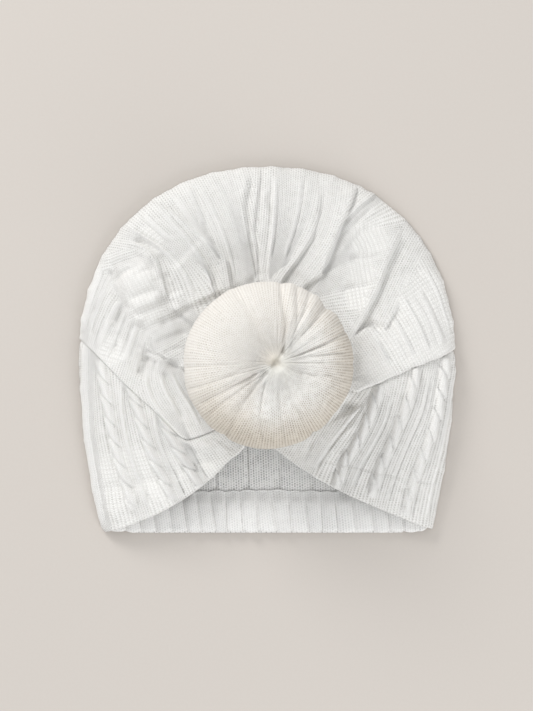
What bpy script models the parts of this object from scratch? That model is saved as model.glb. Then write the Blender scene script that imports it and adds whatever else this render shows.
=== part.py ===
"""A baby's knitted turban hat, laid on its back: a hollow cap with a gathered front and a padded bun.

Metres, +Z up. X is across the hat, +Y runs to the top of the crown, and +Z is the front of the hat,
which faces up. The back of the hat rests on Z = 0, and the origin is under the middle of the hat.
Every front sheet follows one dome. A point of the dome is given by an angle about the bun, in degrees
anticlockwise from +X, and by the share of the way from the gather (0) to the outline (1). The sheets
stand off the dome along its normal.
"""

import math

import bmesh
import bpy
import numpy as np

MM = 0.001

# The cap's outline, seen from the front
HALF_WIDTH = 85 * MM
HALF_LENGTH = 82.5 * MM
SHOULDER_Y = -5 * MM  # where the cap is widest
HEM_HALF_WIDTH = 74.5 * MM
CROWN_POWER = 2.2  # of the superellipse over the shoulders
SIDE_POWER = 1.6  # of the taper from the shoulders to the hem
CORNER_RADIUS = 4 * MM

# The cloth and the dome that it makes
CLOTH = 1.6 * MM
GAP = 0.35 * MM
DOME_HEIGHT = 19 * MM
DOME_POWER = 2.4
SOFT_ANGLE = 16  # the outline's corners are rounded off by this angle
SOFT_SHARE = 0.5  # up to this share, and sharpen from there to the outline
GATHER_RADIUS = 6 * MM
HEM_WIDTH = 19 * MM
HEM_CLOTH = 2.8 * MM  # a wrap's free edge, doubled by its turned hem

# The bun
BUN_CENTRE = np.array([0.0, -6.5]) * MM
BUN_RADIUS = 37.5 * MM
BUN_HEIGHT = 32 * MM
BUN_FOOT_RADIUS = 25 * MM
BUN_CREST_RADIUS = 19 * MM  # where the bun is highest
BUN_EYE = np.array([4.2, 0.7]) * MM  # the gathered middle, from the bun's centre
BUN_EYE_DEPTH = 9 * MM
BUN_LIP = 3 * MM  # how far the under side bulges out, towards +X
BUN_LIP_HALF_ANGLE = 30
TAIL_LENGTH = 5 * MM

# The edges of the sheets, as rows of share and angle
CROWN_RIGHT_EDGE = (
    (0.00, -48),
    (0.35, -35),
    (0.41, -21.5),
    (0.54, -9.7),
    (0.68, -3.3),
    (0.82, 0.9),
    (1.00, 4),
)
CROWN_LEFT_EDGE = (
    (0.00, 238),
    (0.35, 230),
    (0.45, 222),
    (0.56, 205.3),
    (0.68, 195.3),
    (0.78, 186),
    (0.86, 179),
    (1.00, 172.5),
)
LEFT_WRAP_EDGE = (
    (0.00, 268),
    (0.20, 266),
    (0.45, 253.8),
    (0.63, 247),
    (0.74, 242.3),
    (0.84, 236),
    (0.91, 230.6),
    (1.00, 226),
)
RIGHT_WRAP_EDGE = (
    (0.00, -88),
    (0.20, -87),
    (0.47, -79.4),
    (0.58, -72.3),
    (0.70, -62.8),
    (0.80, -55.9),
    (0.90, -48.9),
    (1.00, -45.3),
)
EDGE_ROUNDING = 0.03  # share over which a corner of these tables is rounded
TUCK = 7 * MM  # how far a wrap runs on under the crown
TUCK_MOST_ANGLE = 12
TUCK_RELEASE = 5 * MM  # past the crown's edge, where a wrap is back on the dome
CROWN_ROLL = (1.8 * MM, 5 * MM)  # height and width of the crown's rolled edges
WRAP_ROLL = (1.0 * MM, 4 * MM)
RIGHT_WRAP_DROP = 3 * MM  # how far the right wrap's free edge sags below the dome

# Folds of the crown, each on a line of share and angle. A fold is a lip beside a valley, with a steep
# side between them. The turn says on which side the lip lies: 1 is anticlockwise, -1 is clockwise.
FOLDS = (
    # name, turn, lip height, lip width, valley depth and valley width in millimetres,
    # first share, last share, line
    ("right_drape", 1, 2.2, 9, 3.0, 6, 0.20, 0.98,
     ((0.20, 12), (0.41, 16.4), (0.58, 30), (0.78, 40.3), (1, 46))),
    ("right_pleat", 1, 1.6, 5, 2.6, 5, 0.20, 1.05,
     ((0.20, 66), (0.39, 63.9), (0.49, 58.4), (0.77, 61.7), (1, 63))),
    ("right_roll", -1, 1.4, 5, 2.2, 4, 0.20, 0.94,
     ((0.20, 82), (0.39, 79), (0.50, 73.7), (0.64, 70.1), (1, 73))),
    ("top_line", -1, 0.6, 3, 1.2, 2.5, 0.20, 1.00,
     ((0.20, 89), (0.49, 89.5), (0.71, 88), (1, 88.4))),
    ("top_groove", 1, 1.0, 4, 3.0, 4, 0.20, 1.05,
     ((0.20, 97), (0.55, 95), (0.66, 95.5), (0.82, 93.5), (1, 91.5))),
    ("left_pleat", 1, 1.5, 5, 2.0, 4, 0.20, 1.05,
     ((0.20, 119), (0.52, 110.8), (0.69, 116.8), (0.90, 122.1), (1, 125))),
    ("left_crease", 1, 1.0, 4, 1.5, 3, 0.20, 0.72,
     ((0.20, 130), (0.46, 122.6), (0.55, 121.1), (0.70, 123), (1, 132))),
    ("left_drape", -1, 1.6, 7, 3.0, 5, 0.30, 0.95,
     ((0.20, 155), (0.53, 149.3), (0.64, 142.6), (0.75, 138), (1, 141))),
    ("left_tuck", -1, 1.4, 6, 2.0, 4, 0.20, 0.70,
     ((0.20, 186), (0.42, 182.3), (0.51, 175.8), (0.61, 173), (1, 164))),
)
FOLD_EDGE = 1.5 * MM  # half the width of the steep side
FOLD_RISE = 0.10  # share over which a fold starts
FOLD_FALL = 0.16  # share over which it ends

# Dents that run round the crown, each on a line of angle and share
DENTS = (
    # name, depth and width in millimetres, line
    ("left_band", 1.8, 5, ((152, 0.88), (158, 0.81), (166, 0.81), (172, 0.82))),
    ("left_pit", 1.6, 5, ((168, 0.66), (176, 0.64), (185, 0.65))),
)
DENT_FADE = 5  # degrees
RIM_CALM = 0.35  # folds fade out below this share of the dome's height
KNOT_CALM = 26 * MM  # and within this distance of the bun's centre
KNOT_FADE = 8 * MM  # over which they rise from there

# Pleats of the bun, about its eye
BUN_PLEATS = (
    # angle, depth in millimetres, half width in degrees
    (-178, 1.4, 5),
    (-162, 1.6, 5),
    (-145, 2.0, 5),
    (-128, 2.2, 5),
    (-112, 2.0, 5),
    (-92, 1.8, 5),
    (-72, 2.4, 5),
    (-52, 1.6, 5),
    (-30, 1.4, 5),
    (-8, 1.6, 5),
    (8, 2.2, 5),
    (22, 1.4, 5),
    (38, 2.4, 5),
    (55, 1.6, 5),
    (70, 1.2, 5),
    (88, 3.0, 5),
    (117, 2.4, 5),
    (150, 0.8, 7),
)

# The turned-in hem of the back
HEM_BAND_HALF_LENGTH = 67 * MM
HEM_BAND_INSET = 0.6 * MM
HEM_BAND_CLOTH = 1.6 * MM
HEM_BAND_END = 9 * MM  # over which the band thins towards its ends
HEM_BAND_END_SHARE = 0.45
HEM_RIB_PITCH = 7 * MM
HEM_RIB_HEIGHT = 0.7 * MM
HEM_RIB_LEAN = 3 * MM  # how far a rib moves towards +X on its way to the free edge

# Mesh densities
HIDDEN_SHARES = (0, 0.2)  # rows under the bun
FIRST_CLIMB, ROW_STEPS = 70, 17  # rows from there to the outline, evenly by the dome's climb in degrees
COLUMN_SPACING = 6 * MM
WRAP_COLUMNS = 12
PANEL_COLUMNS = 96
RIB_STEPS = 4
BUN_COLUMN_STEP = 6.2  # most degrees between two columns

MATERIALS = {
    # name: base colour, roughness
    "white_knit": ((0.86, 0.86, 0.85, 1), 0.9),
    "cream_knit": ((0.84, 0.80, 0.73, 1), 0.9),
}


def smooth_step(value):
    """0 below 0, 1 above 1, and a smooth rise between."""
    t = np.clip(value, 0, 1)
    return t * t * (3 - 2 * t)


def outline_points():
    """The cap's outline as an array of points, anticlockwise from the right shoulder."""
    power = 2 / CROWN_POWER
    top = [
        (
            HALF_WIDTH * math.copysign(abs(math.cos(a)) ** power, math.cos(a)),
            SHOULDER_Y + (HALF_LENGTH - SHOULDER_Y) * math.sin(a) ** power,
        )
        for a in np.linspace(0, math.pi, 181)
    ]
    taper = HALF_WIDTH - HEM_HALF_WIDTH
    side_length = HALF_LENGTH + SHOULDER_Y
    left = [
        (-HALF_WIDTH + taper * u**SIDE_POWER, SHOULDER_Y - side_length * u)
        for u in np.linspace(0, 1 - CORNER_RADIUS / side_length, 40)[1:]
    ]
    corner_x = left[-1][0] + CORNER_RADIUS
    corner = [
        (corner_x - CORNER_RADIUS * math.cos(a), -HALF_LENGTH + CORNER_RADIUS * (1 - math.sin(a)))
        for a in np.linspace(0, math.pi / 2, 9)[1:]
    ]
    lower_left = left + corner
    middle = [(x, -HALF_LENGTH) for x in np.linspace(corner_x, -corner_x, 60)[1:-1]]
    lower_right = [(-x, y) for x, y in reversed(lower_left)]
    return np.array(top + lower_left + middle + lower_right)


def polar_outline():
    """Angle and distance from the bun's centre, for the points of the outline."""
    away = outline_points() - BUN_CENTRE
    angle = np.degrees(np.arctan2(away[:, 1], away[:, 0])) % 360
    order = np.argsort(angle)
    return angle[order], np.hypot(away[:, 0], away[:, 1])[order]


OUTLINE_ANGLE, OUTLINE_DISTANCE = polar_outline()


def reach(angle):
    """Distance from the bun's centre to the outline."""
    return np.interp(np.mod(angle, 360), OUTLINE_ANGLE, OUTLINE_DISTANCE, period=360)


def distance(angle, share):
    """Distance from the bun's centre to a point of the dome, seen from the front."""
    around = np.linspace(-SOFT_ANGLE, SOFT_ANGLE, 9)
    soft = sum(reach(angle + shift) for shift in around) / len(around)
    edge = np.clip((share - SOFT_SHARE) / (1 - SOFT_SHARE), 0, 1) ** 4
    return GATHER_RADIUS + (soft + (reach(angle) - soft) * edge - GATHER_RADIUS) * share


def height_share(share):
    """The dome's height as a share of its highest: full at the gather, 0 at the outline."""
    return np.clip(1 - share**DOME_POWER, 0, 1) ** (1 / DOME_POWER)


def share_of_climb(climb):
    """The share at which the dome has climbed this far from the outline: 0 to 90 degrees."""
    return np.cos(np.radians(np.clip(climb, 0, 90))) ** (2 / DOME_POWER)


def dome(angle, share):
    """Points of the dome."""
    out = distance(angle, share)
    radians = np.radians(angle)
    x = BUN_CENTRE[0] + out * np.cos(radians)
    y = BUN_CENTRE[1] + out * np.sin(radians)
    return np.stack([x, y, DOME_HEIGHT * height_share(share)], axis=-1)


def dome_normal(angle, share):
    """Outward normals of the dome, level at the outline."""
    climb = np.degrees(np.arccos(np.clip(share ** (DOME_POWER / 2), 0, 1)))
    around = dome(angle + 0.5, share) - dome(angle - 0.5, share)
    inwards = dome(angle, share_of_climb(climb + 1)) - dome(angle, share_of_climb(climb - 1))
    normal = np.cross(around, inwards)
    normal[..., 2] = np.where(share > 0.9999, 0, normal[..., 2])
    return normal / np.linalg.norm(normal, axis=-1, keepdims=True)


def on_line(line, at):
    """The second column of a table at these values of the first, with the corners rounded off."""
    first, second = np.array(line, float).T
    width = EDGE_ROUNDING * (first[-1] - first[0])
    return sum(np.interp(at + shift, first, second) for shift in (-width, 0, width)) / 3


def arc_from(angle, share, line):
    """Length of the arc from a line of share and angle to these points, positive anticlockwise."""
    return np.radians(angle - on_line(line, share)) * distance(angle, share)


def fold_relief(angle, share):
    """How far the folds lift or sink the cloth."""
    relief = np.zeros_like(share)
    for _, turn, lip, lip_width, depth, depth_width, first, last, line in FOLDS:
        down = -turn * arc_from(angle, share, line)
        valley = smooth_step(0.5 + down / (2 * FOLD_EDGE))
        raised = lip * MM * np.exp(-((down / (lip_width * MM)) ** 2))
        sunk = depth * MM * np.exp(-((down / (depth_width * MM)) ** 2))
        there = smooth_step((share - first) / FOLD_RISE) * smooth_step((last - share) / FOLD_FALL)
        relief += there * (raised * (1 - valley) - sunk * valley)
    return relief


def dent_relief(angle, share):
    """How far the dents sink the cloth."""
    relief = np.zeros_like(share)
    for _, depth, width, line in DENTS:
        off = (share - on_line(line, angle)) * reach(angle)
        first, last = line[0][0], line[-1][0]
        there = smooth_step((angle - first) / DENT_FADE) * smooth_step((last - angle) / DENT_FADE)
        relief -= there * depth * MM * np.exp(-((off / (width * MM)) ** 2))
    return relief


def roll(off, size):
    """Height of a rolled edge at this distance from it."""
    height, width = size
    rise = smooth_step(off / (0.3 * width))
    return height * (0.25 + 0.75 * rise) * np.exp(-((np.maximum(off, 0) / width) ** 2))


def calm(angle, share):
    """1 where the cloth is free, falling to 0 at the outline and under the bun's foot."""
    from_knot = distance(angle, share) - KNOT_CALM
    return smooth_step(height_share(share) / RIM_CALM) * smooth_step(from_knot / KNOT_FADE)


def crown_height(angle, share):
    """The crown's outer face above the dome, without its rolled edges."""
    return (fold_relief(angle, share) + dent_relief(angle, share)) * calm(angle, share)


def crown_roll(angle, share):
    """Height of the crown's rolled edges."""
    right = roll(arc_from(angle, share, CROWN_RIGHT_EDGE), CROWN_ROLL)
    left = roll(-arc_from(angle, share, CROWN_LEFT_EDGE), CROWN_ROLL)
    return (right + left) * calm(angle, share)


def wrap_height(angle, share, free_edge, crown_edge, turn, drop):
    """A wrap's outer face above the dome. The crown lies in the direction of the turn."""
    inside = turn * arc_from(angle, share, crown_edge)
    under = smooth_step(1 + inside / TUCK_RELEASE)
    below_crown = np.minimum(crown_height(angle, share), 0) - CLOTH - 2 * GAP
    span = np.abs(on_line(crown_edge, share) - on_line(free_edge, share))
    near_edge = 1 - np.abs(angle - on_line(free_edge, share)) / span
    sag = drop * smooth_step(near_edge) * np.sin(math.pi * smooth_step((share - 0.2) / 0.8))
    return under * below_crown - (1 - under) * sag


def sheet_mesh(name, outer, inner):
    """A closed sheet between two equal grids of points, with its four edges."""
    rows, columns = outer.shape[:2]
    mesh = bmesh.new()
    top, under = [[[mesh.verts.new(p) for p in row] for row in grid] for grid in (outer, inner)]
    for i in range(rows - 1):
        for j in range(columns - 1):
            mesh.faces.new((top[i][j], top[i][j + 1], top[i + 1][j + 1], top[i + 1][j]))
            mesh.faces.new((under[i][j], under[i + 1][j], under[i + 1][j + 1], under[i][j + 1]))
    for i in range(rows - 1):
        mesh.faces.new((top[i][0], top[i + 1][0], under[i + 1][0], under[i][0]))
        mesh.faces.new((top[i + 1][-1], top[i][-1], under[i][-1], under[i + 1][-1]))
    for j in range(columns - 1):
        mesh.faces.new((top[0][j + 1], top[0][j], under[0][j], under[0][j + 1]))
        mesh.faces.new((top[-1][j], top[-1][j + 1], under[-1][j + 1], under[-1][j]))
    return finished(name, mesh)


def finished(name, mesh):
    """The mesh data of a closed body, with its faces turned outwards."""
    bmesh.ops.recalc_face_normals(mesh, faces=mesh.faces)
    data = bpy.data.meshes.new(name)
    mesh.to_mesh(data)
    mesh.free()
    return data


def add_piece(data, material):
    """Puts mesh data in the scene as a piece with the same name, smoothly shaded."""
    piece = bpy.data.objects.new(data.name, data)
    bpy.context.scene.collection.objects.link(piece)
    data.materials.append(material)
    data.shade_smooth()
    data.set_sharp_from_angle(angle=math.radians(50))
    return piece


def row_shares():
    """The shares of the rows that all front sheets have."""
    climbs = np.linspace(FIRST_CLIMB, 0, ROW_STEPS + 1)
    return np.array([*HIDDEN_SHARES, *share_of_climb(climbs)])


def front_sheet(name, angle, height, thickness, material):
    """A sheet of cloth on the dome, from rows of angles and functions of its outer face and thickness."""
    share = np.repeat(row_shares()[:, None], angle.shape[1], axis=1)
    base = dome(angle, share)
    normal = dome_normal(angle, share)
    stand = height(angle, share)[..., None]
    cloth = thickness(angle, share)[..., None]
    return add_piece(sheet_mesh(name, base + stand * normal, base + (stand - cloth) * normal), material)


def fold_columns(turn, lip_width, depth_width):
    """How far from a fold's line its mesh columns lie, on the clockwise and anticlockwise sides."""
    lip_side = (0.9 * FOLD_EDGE, 0.9 * lip_width * MM)
    valley_side = (0.9 * FOLD_EDGE, 0.9 * depth_width * MM, 1.9 * depth_width * MM)
    return (valley_side, lip_side) if turn > 0 else (lip_side, valley_side)


def crown_angles():
    """Angles of the crown's mesh columns, row by row: close together at each fold, even between."""
    share = row_shares()
    edge_columns = (0.3 * CROWN_ROLL[1], 1.2 * CROWN_ROLL[1])
    guides = [(CROWN_RIGHT_EDGE, (), edge_columns)]
    for _, turn, _, lip_width, _, depth_width, _, _, line in FOLDS:
        guides.append((line, *fold_columns(turn, lip_width, depth_width)))
    guides.append((CROWN_LEFT_EDGE, edge_columns, ()))
    columns = [on_line(CROWN_RIGHT_EDGE, share)]
    for (line, _, after), (next_line, before, _) in zip(guides, guides[1:]):
        start, end = on_line(line, share), on_line(next_line, share)
        out = distance((start + end) / 2, share)
        length = np.radians(end - start) * out
        fit = np.minimum(1, 0.85 * length / (after[-1] + before[-1]))
        free = float(np.interp(0.7, share, length - fit * (after[-1] + before[-1])))
        fill = int(free / COLUMN_SPACING)
        arcs = [fit * a for a in after]
        for k in range(1, fill + 1):
            part_way = k / (fill + 1)
            arcs.append(fit * after[-1] * (1 - part_way) + (length - fit * before[-1]) * part_way)
        arcs += [length - fit * b for b in reversed(before)]
        columns += [start + np.degrees(arc / out) for arc in arcs]
    columns.append(on_line(CROWN_LEFT_EDGE, share))
    return np.stack(columns, axis=1)


def crown(material):
    """The gathered front of the cap, over the top and down to the two side folds."""
    return front_sheet(
        "crown",
        crown_angles(),
        lambda angle, share: crown_height(angle, share) + crown_roll(angle, share),
        lambda angle, share: CLOTH + crown_roll(angle, share),
        material,
    )


def wrap(name, free_edge, crown_edge, turn, drop, material):
    """A lower front panel, from its free edge to its tuck under the crown."""
    share = row_shares()
    at_crown = on_line(crown_edge, share)
    tuck = np.minimum(np.degrees(TUCK / distance(at_crown, share)), TUCK_MOST_ANGLE)
    at_free = on_line(free_edge, share)
    across = np.linspace(0, 1, WRAP_COLUMNS + 1)
    angles = at_free[:, None] * (1 - across) + (at_crown + turn * tuck)[:, None] * across

    def from_free(angle, share):
        return turn * arc_from(angle, share, free_edge)

    def rolled(angle, share):
        return roll(from_free(angle, share), WRAP_ROLL) * calm(angle, share)

    def height(angle, share):
        return wrap_height(angle, share, free_edge, crown_edge, turn, drop) + rolled(angle, share)

    def thickness(angle, share):
        doubled = smooth_step((HEM_WIDTH - from_free(angle, share)) / (0.2 * HEM_WIDTH))
        extra = (HEM_CLOTH - CLOTH) * doubled * calm(angle, share)
        return CLOTH + extra + rolled(angle, share)

    return front_sheet(name, angles, height, thickness, material)


def panel_distance(angle):
    """The back panel's edge: inside the rims of the front, and out to the outline across the mouth."""
    step = 1.5
    slope = (reach(angle + step) - reach(angle - step)) / (2 * math.radians(step) * reach(angle))
    nearest = min(reach(angle - step), reach(angle), reach(angle + step))
    from_left = (angle - CROWN_LEFT_EDGE[-1][1] + 180) % 360 - 180
    from_right = (angle - CROWN_RIGHT_EDGE[-1][1] + 180) % 360 - 180
    doubled = smooth_step((11 - abs(from_left)) / 4) + smooth_step((11 - abs(from_right)) / 4)
    rim = CLOTH + 2.3 * GAP + (CLOTH + 2.3 * GAP) * doubled
    mouth = smooth_step((angle - 228.5) / 3) * smooth_step((311.5 - angle) / 3)
    return reach(angle) * mouth + (nearest - rim * math.hypot(1, slope)) * (1 - mouth)


def back_panel(material):
    """The back of the cap, a flat sheet of knit that lies on the surface."""
    mesh = bmesh.new()
    edge = []
    for angle in np.linspace(0, 360, PANEL_COLUMNS, endpoint=False):
        out = float(panel_distance(angle))
        x = BUN_CENTRE[0] + out * math.cos(math.radians(angle))
        y = BUN_CENTRE[1] + out * math.sin(math.radians(angle))
        edge.append(mesh.verts.new((x, y, 0)))
    face = mesh.faces.new(edge)
    raised = bmesh.ops.extrude_face_region(mesh, geom=[face])
    lifted = [item for item in raised["geom"] if isinstance(item, bmesh.types.BMVert)]
    bmesh.ops.translate(mesh, vec=(0, 0, CLOTH), verts=lifted)
    return add_piece(finished("back_panel", mesh), material)


def back_hem(material):
    """The hem of the back, turned in and lying on the back panel, with its ribs."""
    ribs = round(2 * HEM_BAND_HALF_LENGTH / HEM_RIB_PITCH)
    across = np.linspace(-HEM_BAND_HALF_LENGTH, HEM_BAND_HALF_LENGTH, ribs * RIB_STEPS + 1)
    along = np.linspace(-HALF_LENGTH + HEM_BAND_INSET, -HALF_LENGTH + HEM_WIDTH, 3)
    x, y = np.meshgrid(across, along)
    foot = CLOTH + GAP
    lean = HEM_RIB_LEAN * (along[-1] - y) / HEM_WIDTH
    wave = 0.5 - 0.5 * np.cos(2 * math.pi * (x - across[0] - lean) / HEM_RIB_PITCH)
    inwards = smooth_step((HEM_BAND_HALF_LENGTH - np.abs(x)) / HEM_BAND_END)
    full = HEM_BAND_END_SHARE + (1 - HEM_BAND_END_SHARE) * inwards
    outer = np.stack([x, y, foot + (HEM_BAND_CLOTH + HEM_RIB_HEIGHT * wave) * full], axis=-1)
    inner = np.stack([x, y, np.full_like(x, foot)], axis=-1)
    return add_piece(sheet_mesh("back_hem", outer, inner), material)


def bun_profile():
    """Distance from the bun's middle and height above its foot, from the tail round to the eye."""
    middle = 0.47 * BUN_HEIGHT
    tail = [(GATHER_RADIUS - GAP, -TAIL_LENGTH), (GATHER_RADIUS - GAP, 0), (BUN_FOOT_RADIUS, 0)]
    under = [
        (
            BUN_FOOT_RADIUS + (BUN_RADIUS - BUN_FOOT_RADIUS) * math.sin(a),
            middle * (1 - math.cos(a)),
        )
        for a in np.linspace(0, math.pi / 2, 5)[1:]
    ]
    over = [
        (
            BUN_CREST_RADIUS + (BUN_RADIUS - BUN_CREST_RADIUS) * math.cos(a),
            middle + (BUN_HEIGHT - middle) * math.sin(a),
        )
        for a in np.linspace(0, math.pi / 2, 6)[1:]
    ]
    dip = [(BUN_CREST_RADIUS * (1 - t), BUN_HEIGHT - BUN_EYE_DEPTH * t**2.4) for t in (0.35, 0.65, 0.9)]
    return np.array(tail + under + over + dip)


def bun_angles():
    """Angles of the bun's mesh columns: three at each pleat, and even steps between."""
    marks = []
    for middle, _, half_width in BUN_PLEATS:
        marks += [middle - 1.2 * half_width, middle, middle + 1.2 * half_width]
    marks.append(marks[0] + 360)
    angles = []
    for start, end in zip(marks, marks[1:]):
        steps = max(1, math.ceil((end - start) / BUN_COLUMN_STEP))
        angles += list(np.linspace(start, end, steps, endpoint=False))
    return np.array(angles)


def bun_pleats(angle):
    """Depth of the bun's pleats."""
    depth = np.zeros_like(angle)
    for middle, deep, half_width in BUN_PLEATS:
        off = (angle - middle + 180) % 360 - 180
        depth += deep * MM * np.exp(-((off / half_width) ** 2))
    return depth


def bun(material):
    """The padded rosette: a cushion pleated towards its eye, on a short tail through the gather."""
    foot = DOME_HEIGHT + GAP
    angles = bun_angles()
    radians = np.radians(angles)
    pleats = bun_pleats(angles)
    off_lip = (angles + 180) % 360 - 180
    lip = BUN_LIP * np.exp(-((off_lip / BUN_LIP_HALF_ANGLE) ** 2))
    mesh = bmesh.new()
    rings = []
    for out, height in bun_profile():
        spread = min(max((out - BUN_FOOT_RADIUS) / (BUN_RADIUS - BUN_FOOT_RADIUS), 0), 1)
        on_top = height > 0.4 * BUN_HEIGHT
        pull = (1 - out / BUN_RADIUS) if on_top else 0
        bulge = lip * spread * math.exp(-(((height / BUN_HEIGHT - 0.25) / 0.15) ** 2))
        ring_out = out - 0.25 * pleats * spread + bulge
        x = BUN_CENTRE[0] + ring_out * np.cos(radians) + BUN_EYE[0] * pull
        y = BUN_CENTRE[1] + ring_out * np.sin(radians) + BUN_EYE[1] * pull
        sink = pleats * (1 - 0.75 * spread) if on_top else 0 * pleats
        rings.append([mesh.verts.new(p) for p in zip(x, y, foot + height - sink)])
    for low, high in zip(rings, rings[1:]):
        for j in range(len(angles)):
            k = (j + 1) % len(angles)
            mesh.faces.new((low[j], low[k], high[k], high[j]))
    mesh.faces.new(list(reversed(rings[0])))
    mesh.faces.new(rings[-1])
    return add_piece(finished("bun", mesh), material)


def make_material(name):
    """A plain knit material with the colour and roughness of its row."""
    colour, roughness = MATERIALS[name]
    material = bpy.data.materials.new(name)
    material.use_nodes = True
    shader = material.node_tree.nodes["Principled BSDF"]
    shader.inputs["Base Color"].default_value = colour
    shader.inputs["Roughness"].default_value = roughness
    shader.inputs["Metallic"].default_value = 0
    return material


def main():
    for old in list(bpy.data.objects):
        bpy.data.objects.remove(old)
    white = make_material("white_knit")
    cream = make_material("cream_knit")
    back_panel(white)
    back_hem(white)
    crown(white)
    wrap("left_wrap", LEFT_WRAP_EDGE, CROWN_LEFT_EDGE, -1, 0, white)
    wrap("right_wrap", RIGHT_WRAP_EDGE, CROWN_RIGHT_EDGE, 1, RIGHT_WRAP_DROP, white)
    bun(cream)


main()
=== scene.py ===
import math

import bpy
import numpy as np
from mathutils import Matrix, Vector


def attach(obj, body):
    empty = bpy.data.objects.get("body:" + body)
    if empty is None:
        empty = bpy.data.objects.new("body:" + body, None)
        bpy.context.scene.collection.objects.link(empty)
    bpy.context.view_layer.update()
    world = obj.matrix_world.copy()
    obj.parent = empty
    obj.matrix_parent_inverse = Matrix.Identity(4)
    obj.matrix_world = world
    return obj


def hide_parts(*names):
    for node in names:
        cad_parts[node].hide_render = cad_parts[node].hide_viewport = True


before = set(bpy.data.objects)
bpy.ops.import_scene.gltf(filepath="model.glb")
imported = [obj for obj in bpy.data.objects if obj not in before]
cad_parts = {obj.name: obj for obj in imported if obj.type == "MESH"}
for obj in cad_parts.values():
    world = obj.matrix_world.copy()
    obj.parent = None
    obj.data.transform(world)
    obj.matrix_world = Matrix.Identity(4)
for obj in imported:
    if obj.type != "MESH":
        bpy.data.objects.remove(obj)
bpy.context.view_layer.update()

# A baby's knitted turban hat. The front sheets lie on the same dome as in the CAD, with finer folds,
# ropes and ribs in their meshes, and stitches in their materials. Lengths are in millimetres here and
# turned to metres where a mesh is made. Materials, lamps and the camera are in metres. Lines are in
# pixels of the photograph, see at().

PIXEL = 0.45
PIXEL_CENTRE = (267.0, 350.0)
MM = 0.001

# The dome and the sheets, with the same sizes as in the CAD
HALF_WIDTH, HALF_LENGTH, SHOULDER_Y, HEM_HALF_WIDTH = 85, 82.5, -5, 74.5
CROWN_POWER, SIDE_POWER, CORNER_RADIUS = 2.2, 1.6, 4
CLOTH, GAP, HEM_CLOTH, HEM_WIDTH = 1.6, 0.35, 2.8, 19
DOME_HEIGHT, DOME_POWER = 19, 2.4
SOFT_ANGLE, SOFT_SHARE = 16, 0.5
GATHER_RADIUS = 6
MIDDLE_RADIUS = 80  # the outline's usual distance from the gather
CENTRE = np.array([0.0, -6.5])

# The sheets' edges as share of the way from the gather to the outline, and angle
CROWN_RIGHT_EDGE = (
    (0, -20), (0.34, -18), (0.4, -17.5), (0.445, -17.4), (0.49, -13.4), (0.556, -10), (0.62, -6.1),
    (0.68, -4.1), (0.743, -1.4), (0.796, -0.4), (0.85, 1.1), (0.912, 2.2), (1, 4.6),
)
CROWN_LEFT_EDGE = (
    (0, 240), (0.3, 234), (0.37, 230.4), (0.433, 226.2), (0.485, 223), (0.515, 211.8),
    (0.554, 205.7), (0.592, 200.9), (0.652, 194.8), (0.715, 189.2), (0.785, 183.6), (0.853, 179.1),
    (0.919, 175.6), (1, 172.3),
)
LEFT_WRAP_EDGE = (
    (0, 268), (0.2, 266), (0.42, 255.9), (0.475, 253), (0.525, 248.6), (0.57, 246.6),
    (0.625, 244.9), (0.67, 242.8), (0.722, 240.6), (0.78, 238.3), (0.903, 233.2), (0.98, 228.4),
    (1, 226),
)
RIGHT_WRAP_EDGE = (
    (0, -88), (0.2, -90), (0.43, -87.5), (0.469, -82.4), (0.557, -74.1), (0.641, -66.5),
    (0.728, -59.6), (0.832, -53.8), (0.902, -50.5), (0.95, -47.8), (1, -45),
)
EDGE_ROUNDING = 0.008
TUCK, TUCK_MOST_ANGLE = 7, 12
CROWN_RIGHT_ROLL, CROWN_LEFT_ROLL, WRAP_ROLL = (0.9, 4.5), (0.2, 3), (1.0, 4)
RIM_CALM, KNOT_CALM, KNOT_FADE = 0.35, 26, 8  # where the folds fade at the outline and the bun

# Main folds of the crown, on lines of share and angle
FOLDS = (
    # turn, lip height and width, valley depth and width, steep half width, first and last share, line
    (1, 1.9, 9, 1.7, 4.2, 1.0, 0.20, 0.98,
     ((0.2, 12), (0.41, 16.4), (0.58, 30), (0.78, 40.3), (1, 46))),
    (1, 1.6, 5, 1.3, 2.2, 0.7, 0.20, 1.05,
     ((0.2, 66), (0.39, 63.9), (0.49, 58.4), (0.77, 61.7), (1, 63))),
    (1, 1.3, 5, 1.25, 2.2, 0.7, 0.20, 0.94,
     ((0.2, 82), (0.39, 79), (0.5, 73.7), (0.64, 70.1), (1, 73))),
    (-1, 0.5, 3, 0.8, 1.8, 0.8, 0.20, 1.00,
     ((0.2, 89), (0.49, 89.5), (0.71, 88), (1, 88.4))),
    (1, 0.4, 2, 1.35, 2.6, 0.6, 0.20, 1.05,
     ((0.2, 97), (0.55, 95), (0.66, 95.5), (0.82, 93.5), (1, 91.5))),
    (1, 1.9, 6.5, 1.6, 3.2, 0.8, 0.20, 1.05,
     ((0.2, 119), (0.52, 110.8), (0.69, 116.8), (0.9, 122.1), (1, 125))),
    (1, 1.3, 5, 1.4, 2.6, 0.9, 0.20, 0.72,
     ((0.2, 130), (0.46, 122.6), (0.55, 121.1), (0.7, 123), (1, 132))),
    (-1, 0.9, 7, 1.2, 4, 1.4, 0.30, 0.95,
     ((0.2, 155), (0.53, 149.3), (0.64, 142.6), (0.75, 138), (1, 141))),
    (-1, 1.4, 6, 2.0, 4, 0.9, 0.20, 0.70,
     ((0.2, 186), (0.42, 182.3), (0.51, 175.8), (0.61, 173), (1, 164))),
)
FOLD_RISE, FOLD_FALL = 0.10, 0.16
DENTS = (
    # depth, width, line of angle and share
    (1.8, 5, ((152, 0.88), (158, 0.81), (166, 0.81), (172, 0.82))),
    (1.6, 5, ((168, 0.66), (176, 0.64), (185, 0.65))),
)
DENT_FADE = 5

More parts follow.
